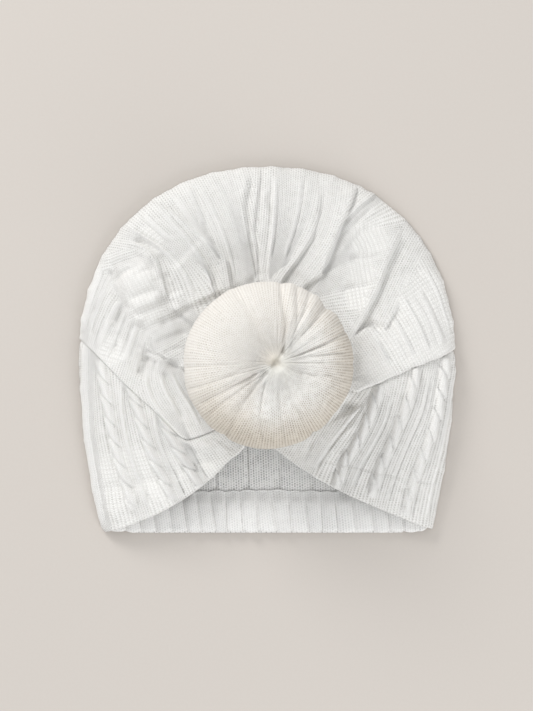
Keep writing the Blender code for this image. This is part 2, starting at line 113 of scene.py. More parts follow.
# Smaller folds, creases and swellings: kind, height, half width, line in pixels.
# A step has its high side on the left of the line's direction, as X right and Y up.
CROWN_STROKES = (
    ("step", 1.9, 3.2,
     ((256, 281), (252, 260), (248, 240), (247, 224), (244, 207), (247, 188), (250, 176))),
    ("line", 0.7, 0.6, ((260, 170), (258.5, 185), (256, 202), (254.5, 217), (253.5, 233))),
    ("line", -0.9, 1.0, ((251, 262), (256, 272), (257, 281))),
    ("line", -0.8, 0.7, ((269, 188), (270, 203), (272, 219))),
    ("line", 0.7, 0.8, ((264, 188), (265, 204), (268, 217), (270, 226))),
    ("line", -0.7, 0.9, ((275, 168), (274, 186), (273, 202))),
    ("line", 1.4, 4.4, ((338, 190), (334, 222), (326, 243), (314, 260), (296, 277))),
    ("line", -0.8, 0.8, ((314, 209), (314.5, 224), (311, 239), (303, 249))),
    ("line", 0.6, 0.8, ((318, 212), (317, 226), (313, 238))),
    ("line", -0.35, 0.8, ((282, 182), (282, 214), (280, 244))),
    ("line", 0.35, 1.2, ((288, 170), (286.5, 202), (284, 236), (278, 262))),
    ("line", -0.35, 0.8, ((300, 174), (299, 200), (296, 222))),
    ("line", 0.4, 1.2, ((309, 178), (307, 206), (299, 228), (288, 252))),
    ("line", 0.8, 0.9, ((343, 219), (361, 203), (377, 191))),
    ("line", -0.9, 0.9, ((344, 226), (362, 209), (379, 195))),
    ("line", 0.5, 0.7, ((341, 232), (358, 216), (372, 204))),
    ("line", -0.6, 0.8, ((339, 240), (356, 222), (372, 208))),
    ("line", 0.9, 1.3, ((336, 258), (350, 241), (364, 221), (380, 205))),
    ("line", 0.7, 0.9, ((345, 200), (351, 192), (353, 187))),
    ("line", -0.7, 0.8, ((352, 201), (357, 193), (360, 187))),
    ("line", -1.4, 1.2, ((348, 258), (366, 258), (386, 254))),
    ("line", -1.2, 1.1, ((340, 289), (357, 287), (373, 283))),
    ("line", -1.0, 1.2, ((341, 287), (346, 297), (350, 306))),
    ("line", -0.9, 1.3, ((352, 231), (370, 229), (386, 223))),
    ("step", 2.4, 4.5, ((380, 334), (372, 327), (361, 330), (351, 338), (345, 351))),
    ("line", -2.2, 3.2, ((357, 336), (354, 350), (352, 366), (350, 382))),
    ("line", -1.1, 5.5, ((372, 262), (366, 285), (360, 308), (355, 328))),
    ("line", 1.2, 6.0, ((370, 352), (390, 343), (412, 330), (432, 312))),
    ("line", 0.7, 0.8, ((366, 313), (376, 321), (387, 327))),
    ("line", -0.5, 0.8, ((364, 317), (374, 325), (384, 331))),
    ("step", 1.4, 2.6, ((383, 332), (391, 318), (399, 302))),
    ("line", -0.9, 1.8, ((398, 241), (411, 243), (424, 241))),
    ("line", -0.9, 1.6, ((398, 270), (412, 271), (427, 274))),
    ("line", -0.7, 1.0, ((384, 298), (392, 298), (400, 300))),
    ("step", 2.6, 5.0, ((170, 300), (166, 288), (161, 273), (157, 258), (147, 247), (133, 241))),
    ("line", 2.2, 8.5, ((182, 256), (194, 268), (203, 284), (211, 302))),
    ("step", 0.8, 1.8, ((213, 290), (214, 278), (208, 262))),
    ("line", 1.9, 7.0, ((128, 268), (141, 288), (150, 312))),
    ("line", -1.3, 1.5, ((104, 266), (120, 262), (143, 254))),
    ("line", -1.5, 1.5, ((109, 282), (124, 273), (143, 266))),
    ("line", -0.9, 1.2, ((133, 276), (147, 271), (159, 266))),
    ("line", -1.8, 1.7, ((127, 301), (144, 294), (162, 290))),
    ("line", -0.9, 1.3, ((131, 316), (147, 309), (160, 305))),
    ("line", -1.5, 1.6, ((139, 332), (155, 326), (169, 317))),
    ("line", -1.7, 1.7, ((158, 327), (172, 320), (184, 313), (193, 306))),
    ("line", -1.2, 1.5, ((152, 346), (166, 339), (178, 334), (189, 331))),
    ("line", -0.9, 1.2, ((160, 355), (172, 351), (184, 345))),
    ("line", -1.7, 2.8, ((163, 272), (170, 285), (172, 297), (168, 309))),
    ("line", 0.9, 3.6, ((113, 272), (130, 267), (149, 260))),
    ("line", 1.2, 4.0, ((120, 289), (138, 284), (158, 278))),
    ("line", 1.3, 4.4, ((131, 309), (146, 302), (163, 298))),
    ("line", 1.0, 3.8, ((146, 344), (162, 337), (180, 330))),
    ("line", -3.0, 2.4, ((106, 266), (109, 280), (115, 294), (120, 305), (116, 316), (107, 326))),
    ("line", -1.0, 0.9, ((91, 315), (99, 301), (105, 284))),
    ("line", -1.0, 1.0, ((123, 300), (126, 306), (127, 312))),
    ("line", -1.9, 1.5, ((116, 329), (114, 343), (109, 358))),
    ("line", -1.4, 1.0, ((135, 318), (128, 338), (122, 360))),
    ("line", -2.6, 2.8, ((136, 321), (143, 335), (146, 350), (142, 363))),
    ("line", -4.6, 2.7, ((146, 354), (143, 366), (140, 380))),
    ("line", -0.9, 0.9, ((130, 368), (134, 382), (138, 394))),
    ("step", 1.6, 3.0, ((183, 371), (172, 363), (160, 356), (148, 350), (146, 336))),
    ("line", -2.2, 1.5, ((166, 362), (174, 366), (182, 368))),
    ("line", -1.6, 1.0, ((157, 357), (152, 372), (151, 386), (156, 402))),
    ("line", -2.0, 1.1, ((163, 371), (170, 383), (176, 400), (180, 414), (182, 424))),
    ("line", -0.9, 2.2, ((250, 240), (252, 256), (256, 270))),
    ("line", -0.5, 0.7, ((236, 250), (243, 266), (249, 279))),
    ("line", -0.5, 0.7, ((231, 248), (239, 266), (243, 280))),
    ("line", 0.6, 0.9, ((241, 169), (246, 182), (249, 195))),
    ("line", -0.5, 0.8, ((224, 188), (228, 196), (232, 206))),
    ("line", -0.9, 0.8, ((172, 195), (186, 213), (200, 230), (210, 237))),
    ("line", 0.6, 1.0, ((186, 184), (196, 205), (204, 228))),
    ("line", -0.7, 0.8, ((156, 202), (163, 211), (172, 222), (184, 232))),
    ("line", -1.3, 1.4, ((128, 247), (140, 250), (151, 257))),
    ("line", 0.7, 0.9, ((126, 243), (140, 245), (154, 252), (166, 255))),
)
WRAP_STROKES = {
    "left_wrap": (
        ("line", -0.9, 0.9, ((186, 444), (192, 457), (199, 471))),
        ("line", -0.6, 1.6, ((202, 447), (207, 458), (210, 468))),
        ("line", -1.1, 2.4, ((208, 451), (217, 452), (225, 458))),
        ("line", 0.9, 2.0, ((190, 450), (206, 446), (222, 448), (234, 456))),
        ("line", -0.5, 0.6, ((208, 434), (222, 442), (236, 452))),
        ("line", -0.5, 0.6, ((204, 437), (217, 446), (230, 457))),
        ("line", -1.3, 2.8, ((98, 490), (128, 485), (160, 479), (190, 468), (214, 454))),
        ("line", 1.0, 4.5, ((104, 514), (140, 503), (178, 489), (208, 472), (234, 455))),
        ("line", -0.7, 0.9, ((124, 480), (131, 492), (139, 510))),
        ("line", -0.6, 0.9, ((149, 492), (153, 508))),
        ("line", -0.6, 0.9, ((164, 484), (170, 493), (176, 503))),
        ("line", -0.5, 0.7, ((91, 346), (91, 390), (94, 430), (99, 466))),
    ),
    "right_wrap": (
        ("line", -4.0, 3.2, ((341, 403), (348, 408), (351, 414))),
        ("line", -0.9, 0.8, ((314, 437), (309, 448), (304, 462))),
        ("line", -0.6, 0.6, ((356, 416), (338, 434), (324, 452), (316, 472))),
        ("line", 0.5, 0.6, ((353, 424), (338, 441), (328, 455))),
        ("line", -0.5, 0.6, ((352, 430), (340, 443), (332, 456))),
        ("line", -0.6, 0.8, ((424, 367), (421, 376), (419, 386))),
        ("line", 0.7, 1.0, ((385, 380), (385, 390), (380, 402))),
        ("step", 0.45, 2.5, ((440, 487), (418, 482), (386, 476), (352, 468), (322, 462))),
    ),
}

# Lines of the knit: ropes and ribs follow them, and the stitches run along them. In each panel of the
# cloth they lie in order, each to the left of the one before, and the number is their place in the
# repeat: even for a rope, odd for a rib.
CROWN_KNIT = {
    "right_lobe": (
        ("rib", 1, ((374, 338), (384, 352), (392, 366))),
        ("ridge", 2, ((390, 318), (398, 330), (406, 344), (414, 360))),
        ("rib", 3, ((403, 296), (411, 309), (421, 329), (431, 352))),
        ("ridge", 4, ((416, 290), (426, 303), (436, 325), (444, 347))),
        ("rib", 5, ((426, 268), (438, 290), (447, 315), (452, 335))),
    ),
    "right_slope": (
        ("plain", 1, ((404, 236), (396, 252), (388, 268), (381, 286), (373, 303), (364, 318))),
        ("plain", 2, ((418, 246), (408, 264), (399, 282), (391, 300), (383, 316))),
    ),
    "waffle": (
        ("plain", 0, ((340, 312), (352, 311), (362, 309))),
        ("plain", 1, ((341, 290), (356, 286), (373, 283))),
        ("plain", 3, ((338, 266), (352, 259), (368, 257), (384, 254))),
        ("plain", 5, ((338, 254), (350, 240), (368, 230), (394, 225))),
        ("plain", 6, ((340, 240), (356, 222), (374, 207))),
        ("plain", 7, ((344, 222), (360, 206), (372, 197))),
    ),
    "roll": (
        ("plain", 0, ((324, 178), (324, 205), (317, 228), (303, 252), (288, 272))),
        ("plain", 1, ((338, 186), (334, 212), (325, 238), (312, 257), (296, 277))),
    ),
    "top": (
        ("rib", 1, ((277, 172), (276, 200), (274, 235), (270, 262))),
        ("plain", 2, ((288, 172), (287, 200), (284, 230), (277, 262))),
        ("rib", 3, ((303, 174), (301, 200), (296, 225), (284, 262))),
        ("plain", 4, ((316, 176), (313, 200), (306, 226), (292, 255))),
    ),
    "middle": (
        ("rib", 1, ((200, 184), (212, 205), (224, 232), (233, 262), (236, 282))),
        ("plain", 2, ((215, 178), (226, 200), (236, 228), (243, 258), (247, 280))),
        ("plain", 3, ((230, 173), (238, 198), (243, 225), (248, 250), (253, 276))),
    ),
    "upper_left": (
        ("plain", 0, ((118, 238), (135, 241), (148, 246), (158, 257), (162, 272), (166, 290), (172, 306))),
        ("rib", 1, ((128, 226), (148, 239), (168, 252), (184, 270), (192, 287), (197, 302))),
        ("ridge", 2, ((141, 213), (158, 229), (174, 243))),
        ("rib", 3, ((156, 202), (170, 219), (190, 240), (207, 266), (213, 286))),
        ("ridge", 4, ((171, 193), (184, 211), (199, 231), (213, 251))),
        ("rib", 5, ((187, 184), (197, 205), (207, 228))),
    ),
    "pillows": (
        ("plain", -1, ((150, 352), (165, 346), (180, 337))),
        ("plain", 1, ((142, 331), (157, 325), (175, 318), (187, 309))),
        ("plain", 2, ((133, 315), (148, 308), (163, 303))),
        ("plain", 3, ((126, 302), (137, 298), (152, 291), (162, 290))),
        ("plain", 5, ((112, 282), (125, 273), (140, 268), (156, 262))),
        ("plain", 6, ((104, 267), (120, 262), (140, 255))),
    ),
    "far_left": (
        ("ridge", 0, ((100, 264), (93, 287), (86, 312), (82, 332))),
        ("rib", 1, ((110, 270), (105, 290), (95, 313), (89, 336))),
        ("ridge", 2, ((120, 296), (111, 314), (103, 333), (97, 350))),
        ("rib", 3, ((127, 308), (120, 325), (113, 345), (106, 362))),
        ("ridge", 4, ((137, 322), (130, 342), (123, 364))),
        ("rib", 5, ((145, 338), (139, 356), (134, 378))),
    ),
    "low_left": (
        ("rib", 1, ((147, 366), (147, 384), (155, 404), (167, 417))),
        ("rib", 2, ((161, 372), (165, 388), (175, 405), (184, 424))),
        ("rib", 3, ((172, 372), (180, 388), (192, 406), (202, 428))),
        ("plain", 4, ((183, 375), (192, 395), (204, 415))),
    ),
}
LEFT_KNIT = {
    "left": (
        ("ridge", 0, ((84, 345), (84, 370), (84, 400), (87, 440), (92, 475), (98, 505), (102, 528))),
        ("plain", 1, ((92, 350), (92, 390), (94, 430), (100, 470), (107, 505), (111, 525))),
        ("rope", 2,
         ((99, 358), (103, 376), (107, 400), (110, 420), (114, 440), (119, 462), (126, 485), (134, 512))),
        ("rib", 3, ((122, 385), (123, 410), (127, 435), (132, 455), (140, 480), (150, 508))),
        ("rope", 4,
         ((129, 382), (134, 398), (139, 412), (143, 428), (149, 446), (155, 463), (164, 482), (174, 502))),
        ("rib", 5, ((155, 412), (157, 430), (162, 448), (170, 468), (180, 488), (186, 500))),
        ("rope", 6, ((161, 411), (166, 424), (172, 438), (180, 453), (190, 470), (201, 490))),
        ("rib", 7, ((186, 440), (192, 455), (200, 470), (210, 484))),
        ("plain", 8, ((202, 440), (212, 455), (222, 470))),
        ("plain", 9, ((216, 436), (229, 450), (238, 458))),
    )
}
RIGHT_KNIT = {
    "right": (
        ("plain", -1, ((300, 440), (295, 452), (288, 462))),
        ("plain", 0, ((322, 432), (312, 450), (303, 466))),
        ("rib", 1, ((362, 404), (346, 425), (330, 445), (319, 462), (313, 474))),
        ("rope", 2,
         ((380, 380), (376, 398), (370, 415), (362, 434), (353, 450), (344, 463), (339, 480), (335, 492))),
        ("rib", 3, ((391, 396), (386, 420), (376, 440), (365, 459), (358, 472), (350, 492))),
        ("rope", 4,
         ((418, 362), (415, 377), (411, 395), (403, 415), (396, 435), (386, 455), (378, 475), (371, 500))),
        ("rib", 5, ((431, 375), (423, 412), (409, 443), (396, 475), (387, 505))),
        ("rope", 6,
         ((447, 352), (445, 370), (441, 400), (434, 428), (425, 452), (417, 474), (410, 496), (405, 518))),
        ("rib", 7, ((456, 372), (451, 402), (445, 440), (436, 478), (427, 520))),
    )
}
REPEAT = 7.25  # from a rope to the next rib
LADDERS = (
    # where the cloth is stretched to a ladder of rungs: x, y and radius in pixels, and how clearly
    (425, 300, 30, 0.55), (440, 335, 24, 0.55), (408, 345, 20, 0.5), (374, 376, 22, 0.4),
    (369, 240, 19, 0.6), (362, 272, 15, 0.6), (358, 298, 12, 0.7), (385, 210, 14, 0.2),
    (137, 285, 22, 0.55), (148, 310, 16, 0.5), (150, 240, 14, 0.6), (112, 350, 14, 0.6),
    (125, 470, 26, 0.5), (160, 478, 24, 0.5), (195, 468, 16, 0.35), (110, 500, 14, 0.35),
)
ROPE_HALF_WIDTH, ROPE_HEIGHT, ROPE_LOBE = 2.1, 1.9, 9.6
ROPE_SWAY = 1.7  # how far a strand moves across its rope
ROPE_TROUGH = 0.5  # how far the cloth sinks beside a rope
ROPE_SLANT, ROPE_CROSSING = 0.26, 0.55  # how slantwise strands cross, and how far they sink there
RIDGE_HEIGHT, RIDGE_WIDTH, RIDGE_GROOVE, RIDGE_GROOVE_WIDTH = 0.75, 1.3, 0.45, 0.5
RIB_HEIGHT, RIB_WIDTH, RIB_GROOVE, RIB_GROOVE_WIDTH = 0.5, 0.75, 0.75, 0.5
STEP_EDGE, STEP_LIP = 1.3, 0.35  # width of a step's edge, and its lip as a share of its height
STROKE_FADE, STROKE_FADE_SHARE = 3.5, 0.35  # a stroke ends over this length, or share of its own

# The bun
BUN_RADIUS, BUN_HEIGHT, BUN_FOOT_RADIUS, BUN_CREST_RADIUS = 37.5, 32, 25, 19
BUN_EYE, BUN_EYE_DEPTH, BUN_LIP, BUN_LIP_HALF_ANGLE = (4.2, 0.7), 4.5, 3, 30
BUN_STROKES = (
    ("line", -2.6, 1.7, ((232, 289), (243, 300), (251, 311), (258, 329), (265, 346), (275, 362))),
    ("line", 0.9, 2.0, ((240, 290), (250, 300), (259, 316), (266, 336))),
    ("line", -2.3, 1.1, ((281, 279), (282, 300), (285, 318), (285, 335), (280, 358))),
    ("line", 1.1, 1.8, ((291, 281), (291, 300), (291, 320), (288, 338), (282, 355))),
    ("line", -1.2, 0.9, ((297, 285), (297, 303), (296, 322), (289, 345))),
    ("line", -2.4, 1.6, ((334, 297), (321, 312), (307, 329), (292, 345), (279, 360))),
    ("line", 1.2, 1.8, ((318, 292), (313, 304), (305, 321), (293, 338))),
    ("line", -1.1, 0.9, ((309, 290), (308, 303), (301, 320), (290, 340))),
    ("line", 1.0, 1.8, ((340, 312), (322, 325), (302, 341), (286, 355))),
    ("line", -1.5, 1.1, ((349, 328), (335, 338), (316, 348), (298, 355), (280, 361))),
    ("line", -0.9, 0.7, ((347, 351), (325, 354), (302, 358), (284, 363))),
    ("line", 0.7, 1.6, ((350, 342), (326, 348), (302, 355))),
    ("line", -0.8, 0.9, ((343, 371), (320, 376), (300, 374), (284, 367))),
    ("line", 1.4, 7.0, ((299, 382), (318, 388), (334, 392))),
    ("line", -1.9, 1.3, ((317, 438), (305, 421), (297, 404), (289, 388), (279, 370))),
    ("line", -1.2, 0.9, ((284, 446), (281, 425), (279, 405), (276, 385))),
    ("line", 1.6, 3.4, ((268, 424), (268, 404), (271, 386), (275, 372))),
    ("line", -1.2, 0.8, ((261, 444), (260, 420), (262, 398), (267, 378))),
    ("line", -2.3, 1.5, ((221, 440), (231, 425), (240, 408), (250, 393), (262, 377), (271, 368))),
    ("line", -2.0, 1.4, ((196, 406), (210, 398), (228, 389), (245, 380), (260, 371))),
    ("line", -1.0, 0.9, ((204, 420), (220, 404), (238, 392), (256, 377))),
    ("line", -1.2, 1.0, ((186, 390), (205, 385), (228, 376), (246, 369), (262, 366))),
    ("line", -0.8, 0.8, ((183, 368), (205, 366), (230, 364), (258, 363))),
    ("line", -0.5, 1.2, ((186, 343), (210, 352), (235, 358), (258, 361))),
    ("line", 0.8, 2.2, ((233, 376), (248, 371), (262, 366))),
    ("line", 0.8, 1.8, ((244, 398), (254, 386), (265, 373))),
    ("line", 0.7, 1.5, ((207, 309), (213, 315), (222, 324))),
    ("line", -0.7, 1.0, ((212, 304), (220, 314), (228, 326))),
)
BUN_EYE_CREASE = (("line", -2.2, 0.65, ((285, 342), (281, 353), (276, 362), (270, 369))),)
BUN_WALES = 168
BUN_GATHERS = ((19, 0.75, 31), (33, 0.7, 32), (53, 0.5, 33))  # folds round it, height and seed

# Where ribs and folds end at the outline, in pixels, and how far they stand out there
RIM_CORNERS = (
    (83, 318), (89, 290), (102, 256), (121, 229), (153, 198), (182, 186), (212, 176), (245, 168),
    (271, 166), (303, 169), (335, 175), (361, 186), (375, 194), (406, 220), (418, 238), (432, 254),
    (441, 282), (451, 322), (455, 372), (450, 420), (443, 470), (84, 390), (88, 440), (95, 490),
)
RIM_CORNER_HEIGHT, RIM_CORNER_WIDTH, RIM_UNEVEN = 0.65, 2.2, 0.16


def at(points):
    """Points of the photograph, in pixels, as millimetres across and up the hat."""
    x, y = np.array(points, float).T
    return np.stack([(x - PIXEL_CENTRE[0]) * PIXEL, (PIXEL_CENTRE[1] - y) * PIXEL], axis=-1)


def rounded(line, times=2):
    """A line with its corners cut off once or more, and its ends kept."""
    for _ in range(times):
        cut = [line[0]]
        for a, b in zip(line[:-1], line[1:]):
            cut += [0.75 * a + 0.25 * b, 0.25 * a + 0.75 * b]
        line = np.array([*cut, line[-1]])
    return line


def smooth_step(value):
    """0 below 0, 1 above 1, smooth between."""
    t = np.clip(value, 0, 1)
    return t * t * (3 - 2 * t)


def bell(value):
    """1 at 0, and close to nothing past 2 on either side."""
    return np.exp(-(value**2))


def signed(angle):
    """An angle in degrees, brought to between -180 and 180."""
    return (angle + 180) % 360 - 180


def from_line(points, line, open_ended=False):
    """Signed distance to a line, positive on its left, and the length along it, for each point."""
    best = np.full(len(points), 1e9)
    side = np.zeros(len(points))
    run = np.zeros(len(points))
    start = 0.0
    last = len(line) - 2
    for k, (a, b) in enumerate(zip(line[:-1], line[1:])):
        step = b - a
        length = math.hypot(*step)
        part = (points - a) @ step / length**2
        low = -1e9 if open_ended and k == 0 else 0
        high = 1e9 if open_ended and k == last else 1
        part = np.clip(part, low, high)
        away = points - a - part[:, None] * step
        out = np.hypot(away[:, 0], away[:, 1])
        nearer = out < best
        best = np.where(nearer, out, best)
        side = np.where(nearer, np.sign(step[0] * away[:, 1] - step[1] * away[:, 0]), side)
        run = np.where(nearer, start + part * length, run)
        start += length
    return best * side, run, start


def near(points, line, margin):
    """Which points lie in a line's box, with a margin."""
    low, high = line.min(axis=0) - margin, line.max(axis=0) + margin
    return np.flatnonzero(((points > low) & (points < high)).all(axis=1))


def ends(run, length, fade):
    """1 along a line, falling to 0 at both of its ends."""
    return smooth_step(run / fade) * smooth_step((length - run) / fade)


def stroke_relief(points, strokes):
    """Height that small folds add at these points."""
    relief = np.zeros(len(points))
    for kind, height, width, pixels in strokes:
        line = rounded(at(pixels))
        some = near(points, line, 6 * width + 1)
        off, run, length = from_line(points[some], line)
        shape = bell(off / width)
        if kind == "step":
            high = smooth_step(0.5 + off / STEP_EDGE)
            shape *= STEP_LIP * high - (1 - high)
        else:
            shape = 0.68 * shape + 0.32 * bell(off / (2.6 * width))
        fade = min(STROKE_FADE, STROKE_FADE_SHARE * length)
        relief[some] += ends(run, length, fade) * height * shape
    return relief


def rope(off, run, lean):
    """Height of a cable: strands that each cross slantwise over the next."""
    phase = run / ROPE_LOBE + ROPE_SLANT * lean * off / ROPE_HALF_WIDTH
    local = phase - np.floor(phase) - 0.5
    aside = off + lean * ROPE_SWAY * local
    body = np.clip(1 - (aside / ROPE_HALF_WIDTH) ** 2, 0, 1) ** 0.6
    crossing = bell((np.abs(local) - 0.5) / 0.1)
    trough = bell((np.abs(off) - ROPE_HALF_WIDTH - 0.9) / 0.7)
    return ROPE_HEIGHT * body * (1 - ROPE_CROSSING * crossing) - ROPE_TROUGH * trough


def ridge(off):
    """Height of a smooth round ridge with a groove on either side."""
    groove = bell((np.abs(off) - 2.0) / RIDGE_GROOVE_WIDTH)
    return RIDGE_HEIGHT * bell(off / RIDGE_WIDTH) - RIDGE_GROOVE * groove


def rib(off):
    """Height of a rib: a thin ridge with a groove on its left, where left is along its line."""
    groove = bell((off - 0.7) / RIB_GROOVE_WIDTH)
    return RIB_HEIGHT * bell((off + 0.5) / RIB_WIDTH) - RIB_GROOVE * groove


def knit_relief(points, panels, lean):
    """Height of the ropes and ribs at these points."""
    relief = np.zeros(len(points))
    for lines in panels.values():
        for kind, _, pixels in lines:
            if kind == "plain":
                continue
            line = rounded(at(pixels))
            some = near(points, line, 4)
            off, run, length = from_line(points[some], line)
            shape = {"rope": rope(off, run, lean), "ridge": ridge(off), "rib": rib(off)}[kind]
            relief[some] += ends(run, length, 5) * shape
    return relief


def knit_coordinates(points, panels):
    """Across and along the knit, in millimetres, for every panel, and each point's nearest panel."""
    count = len(points)
    nearest = np.full(count, 1e9)
    panel = np.zeros(count, int)
    found = []
    for p, lines in enumerate(panels.values()):
        offs, runs, marks = [], [], []
        heading = None
        for _, place, pixels in lines:
            line = rounded(at(pixels), 1)
            if heading is None:
                heading = (line[-1] - line[0]) / math.hypot(*(line[-1] - line[0]))
            off, run, length = from_line(points, line, open_ended=True)
            offs.append(off)
            runs.append(run + line[0] @ heading)
            marks.append(place * REPEAT)
            beyond = np.maximum(np.maximum(-run, run - length), 0)
            reach_to = np.hypot(off, beyond)
            closer = reach_to < nearest
            nearest[closer] = reach_to[closer]
            panel[closer] = p
        across = marks[0] + offs[0]
        along = runs[0].copy()
        for k in range(len(lines) - 1):
            between = (offs[k] > 0) & (offs[k + 1] <= 0)
            part = np.where(between, offs[k] / np.maximum(offs[k] - offs[k + 1], 1e-6), 0)
            across = np.where(between, marks[k] + part * (marks[k + 1] - marks[k]), across)
            along = np.where(between, runs[k] * (1 - part) + runs[k + 1] * part, along)
        past = offs[-1] > 0
        across = np.where(past, marks[-1] + offs[-1], across)
        along = np.where(past, runs[-1], along)
        found.append(np.stack([across, along], axis=-1))
    return np.array(found), panel


def rim_relief(angle, share):
    """Small corners of the outline where ribs and folds end, and a fine unevenness between them."""
    relief = RIM_UNEVEN * soft_noise(angle * 0.75, share * 4, 71)
    for corner in RIM_CORNERS:
        away = at([corner])[0] - CENTRE
        bearing = np.degrees(math.atan2(away[1], away[0]))
        off = np.radians(signed(angle - bearing)) * MIDDLE_RADIUS
        relief += RIM_CORNER_HEIGHT * np.exp(-np.abs(off) / RIM_CORNER_WIDTH)
    return relief * bell(height_share(share) / 0.42)


def zone_amount(points, blobs):
    """How far a point lies in any of these round zones, from 0 to 1."""
    amount = np.zeros(len(points))
    for x, y, radius, strength in blobs:
        middle = at([(x, y)])[0]
        away = np.hypot(*(points - middle).T) / (radius * PIXEL)
        amount = np.maximum(amount, strength * smooth_step((1.25 - away) / 0.5))
    return amount


def soft_noise(x, y, seed):
    """A smooth random height from -1 to 1."""
    table = np.random.default_rng(seed).uniform(-1, 1, (64, 64))
    i, j = np.floor(x).astype(int), np.floor(y).astype(int)
    s, t = smooth_step(x - i), smooth_step(y - j)
    corner = [[table[(i + a) % 64, (j + b) % 64] for b in (0, 1)] for a in (0, 1)]
    low = corner[0][0] * (1 - t) + corner[0][1] * t
    high = corner[1][0] * (1 - t) + corner[1][1] * t
    return low * (1 - s) + high * s


# The dome and its folds


def outline_points():
    """The hat's outline: a superellipse on top, sides that taper, and a hem with round corners."""
    power = 2 / CROWN_POWER
    top = [
        (
            HALF_WIDTH * math.copysign(abs(math.cos(a)) ** power, math.cos(a)),
            SHOULDER_Y + (HALF_LENGTH - SHOULDER_Y) * math.sin(a) ** power,
        )
        for a in np.linspace(0, math.pi, 181)
    ]
    taper = HALF_WIDTH - HEM_HALF_WIDTH
    side_length = HALF_LENGTH + SHOULDER_Y
    left = [
        (-HALF_WIDTH + taper * u**SIDE_POWER, SHOULDER_Y - side_length * u)
        for u in np.linspace(0, 1 - CORNER_RADIUS / side_length, 40)[1:]
    ]
    corner_x = left[-1][0] + CORNER_RADIUS
    corner = [
        (corner_x - CORNER_RADIUS * math.cos(a), -HALF_LENGTH + CORNER_RADIUS * (1 - math.sin(a)))
        for a in np.linspace(0, math.pi / 2, 9)[1:]
    ]
    lower_left = left + corner
    middle = [(x, -HALF_LENGTH) for x in np.linspace(corner_x, -corner_x, 60)[1:-1]]
    lower_right = [(-x, y) for x, y in reversed(lower_left)]
    return np.array(top + lower_left + middle + lower_right)


def polar_outline():
    """Angle and distance of the outline's points from the gather, in order of angle."""
    away = outline_points() - CENTRE
    angle = np.degrees(np.arctan2(away[:, 1], away[:, 0])) % 360
    order = np.argsort(angle)
    return angle[order], np.hypot(away[:, 0], away[:, 1])[order]


OUTLINE_ANGLE, OUTLINE_DISTANCE = polar_outline()


def reach(angle):
    """How far the outline is from the gather."""
    return np.interp(np.mod(angle, 360), OUTLINE_ANGLE, OUTLINE_DISTANCE, period=360)


def distance(angle, share):
    """Distance from the gather. The outline's corners show near the outline only."""
    around = np.linspace(-SOFT_ANGLE, SOFT_ANGLE, 9)
    soft = sum(reach(angle + shift) for shift in around) / len(around)
    edge = np.clip((share - SOFT_SHARE) / (1 - SOFT_SHARE), 0, 1) ** 4
    return GATHER_RADIUS + (soft + (reach(angle) - soft) * edge - GATHER_RADIUS) * share


def height_share(share):
    """The dome's height, as a share of its height at the gather."""
    return np.clip(1 - share**DOME_POWER, 0, 1) ** (1 / DOME_POWER)


def share_of_climb(climb):
    """The share where the dome has been climbed this far, from 0 to 90 degrees."""
    return np.cos(np.radians(np.clip(climb, 0, 90))) ** (2 / DOME_POWER)


def around_centre(angle, out):
    """X and Y at this angle and distance from the gather."""
    radians = np.radians(angle)
    return CENTRE[0] + out * np.cos(radians), CENTRE[1] + out * np.sin(radians)


def dome(angle, share):
    x, y = around_centre(angle, distance(angle, share))
    return np.stack([x, y, DOME_HEIGHT * height_share(share)], axis=-1)


def dome_normal(angle, share):
    climb = np.degrees(np.arccos(np.clip(share ** (DOME_POWER / 2), 0, 1)))
    around = dome(angle + 0.5, share) - dome(angle - 0.5, share)
    inwards = dome(angle, share_of_climb(climb + 1)) - dome(angle, share_of_climb(climb - 1))
    normal = np.cross(around, inwards)
    normal[..., 2] = np.where(share > 0.9999, 0, normal[..., 2])
    return normal / np.linalg.norm(normal, axis=-1, keepdims=True)


def on_line(line, at_value):
    """A table's second value at a first one, with its corners rounded."""
    first, second = np.array(line, float).T
    width = EDGE_ROUNDING * (first[-1] - first[0])
    return sum(np.interp(at_value + shift, first, second) for shift in (-width, 0, width)) / 3


def arc_from(angle, share, line):
    """Distance round the gather from a line of share and angle, positive past it."""
    return np.radians(angle - on_line(line, share)) * distance(angle, share)


def fold_relief(angle, share):
    """The main folds: a lip, a steep side and a valley beside it."""
    relief = np.zeros_like(share)
    for turn, lip, lip_width, depth, depth_width, edge, first, last, line in FOLDS:
        down = -turn * arc_from(angle, share, line)
        valley = smooth_step(0.5 + down / (2 * edge))
        raised = lip * bell(down / lip_width)
        sunk = depth * bell(down / depth_width)
        there = smooth_step((share - first) / FOLD_RISE) * smooth_step((last - share) / FOLD_FALL)
        relief += there * (raised * (1 - valley) - sunk * valley)
    return relief


def dent_relief(angle, share):
    relief = np.zeros_like(share)
    for depth, width, line in DENTS:
        off = (share - on_line(line, angle)) * reach(angle)
        first, last = line[0][0], line[-1][0]
        there = smooth_step((angle - first) / DENT_FADE) * smooth_step((last - angle) / DENT_FADE)
        relief -= there * depth * bell(off / width)
    return relief


def roll(off, size):
    """Height of the cloth that is rolled up along an edge."""
    height, width = size
    rise = smooth_step(off / (0.3 * width))
    return height * (0.25 + 0.75 * rise) * bell(np.maximum(off, 0) / width)


def calm(angle, share):
    """1 on the open cloth, 0 at the outline and under the bun, where folds have ended."""
    from_knot = distance(angle, share) - KNOT_CALM
    return smooth_step(height_share(share) / RIM_CALM) * smooth_step(from_knot / KNOT_FADE)


def crown_height(angle, share):
    return (fold_relief(angle, share) + dent_relief(angle, share)) * calm(angle, share)


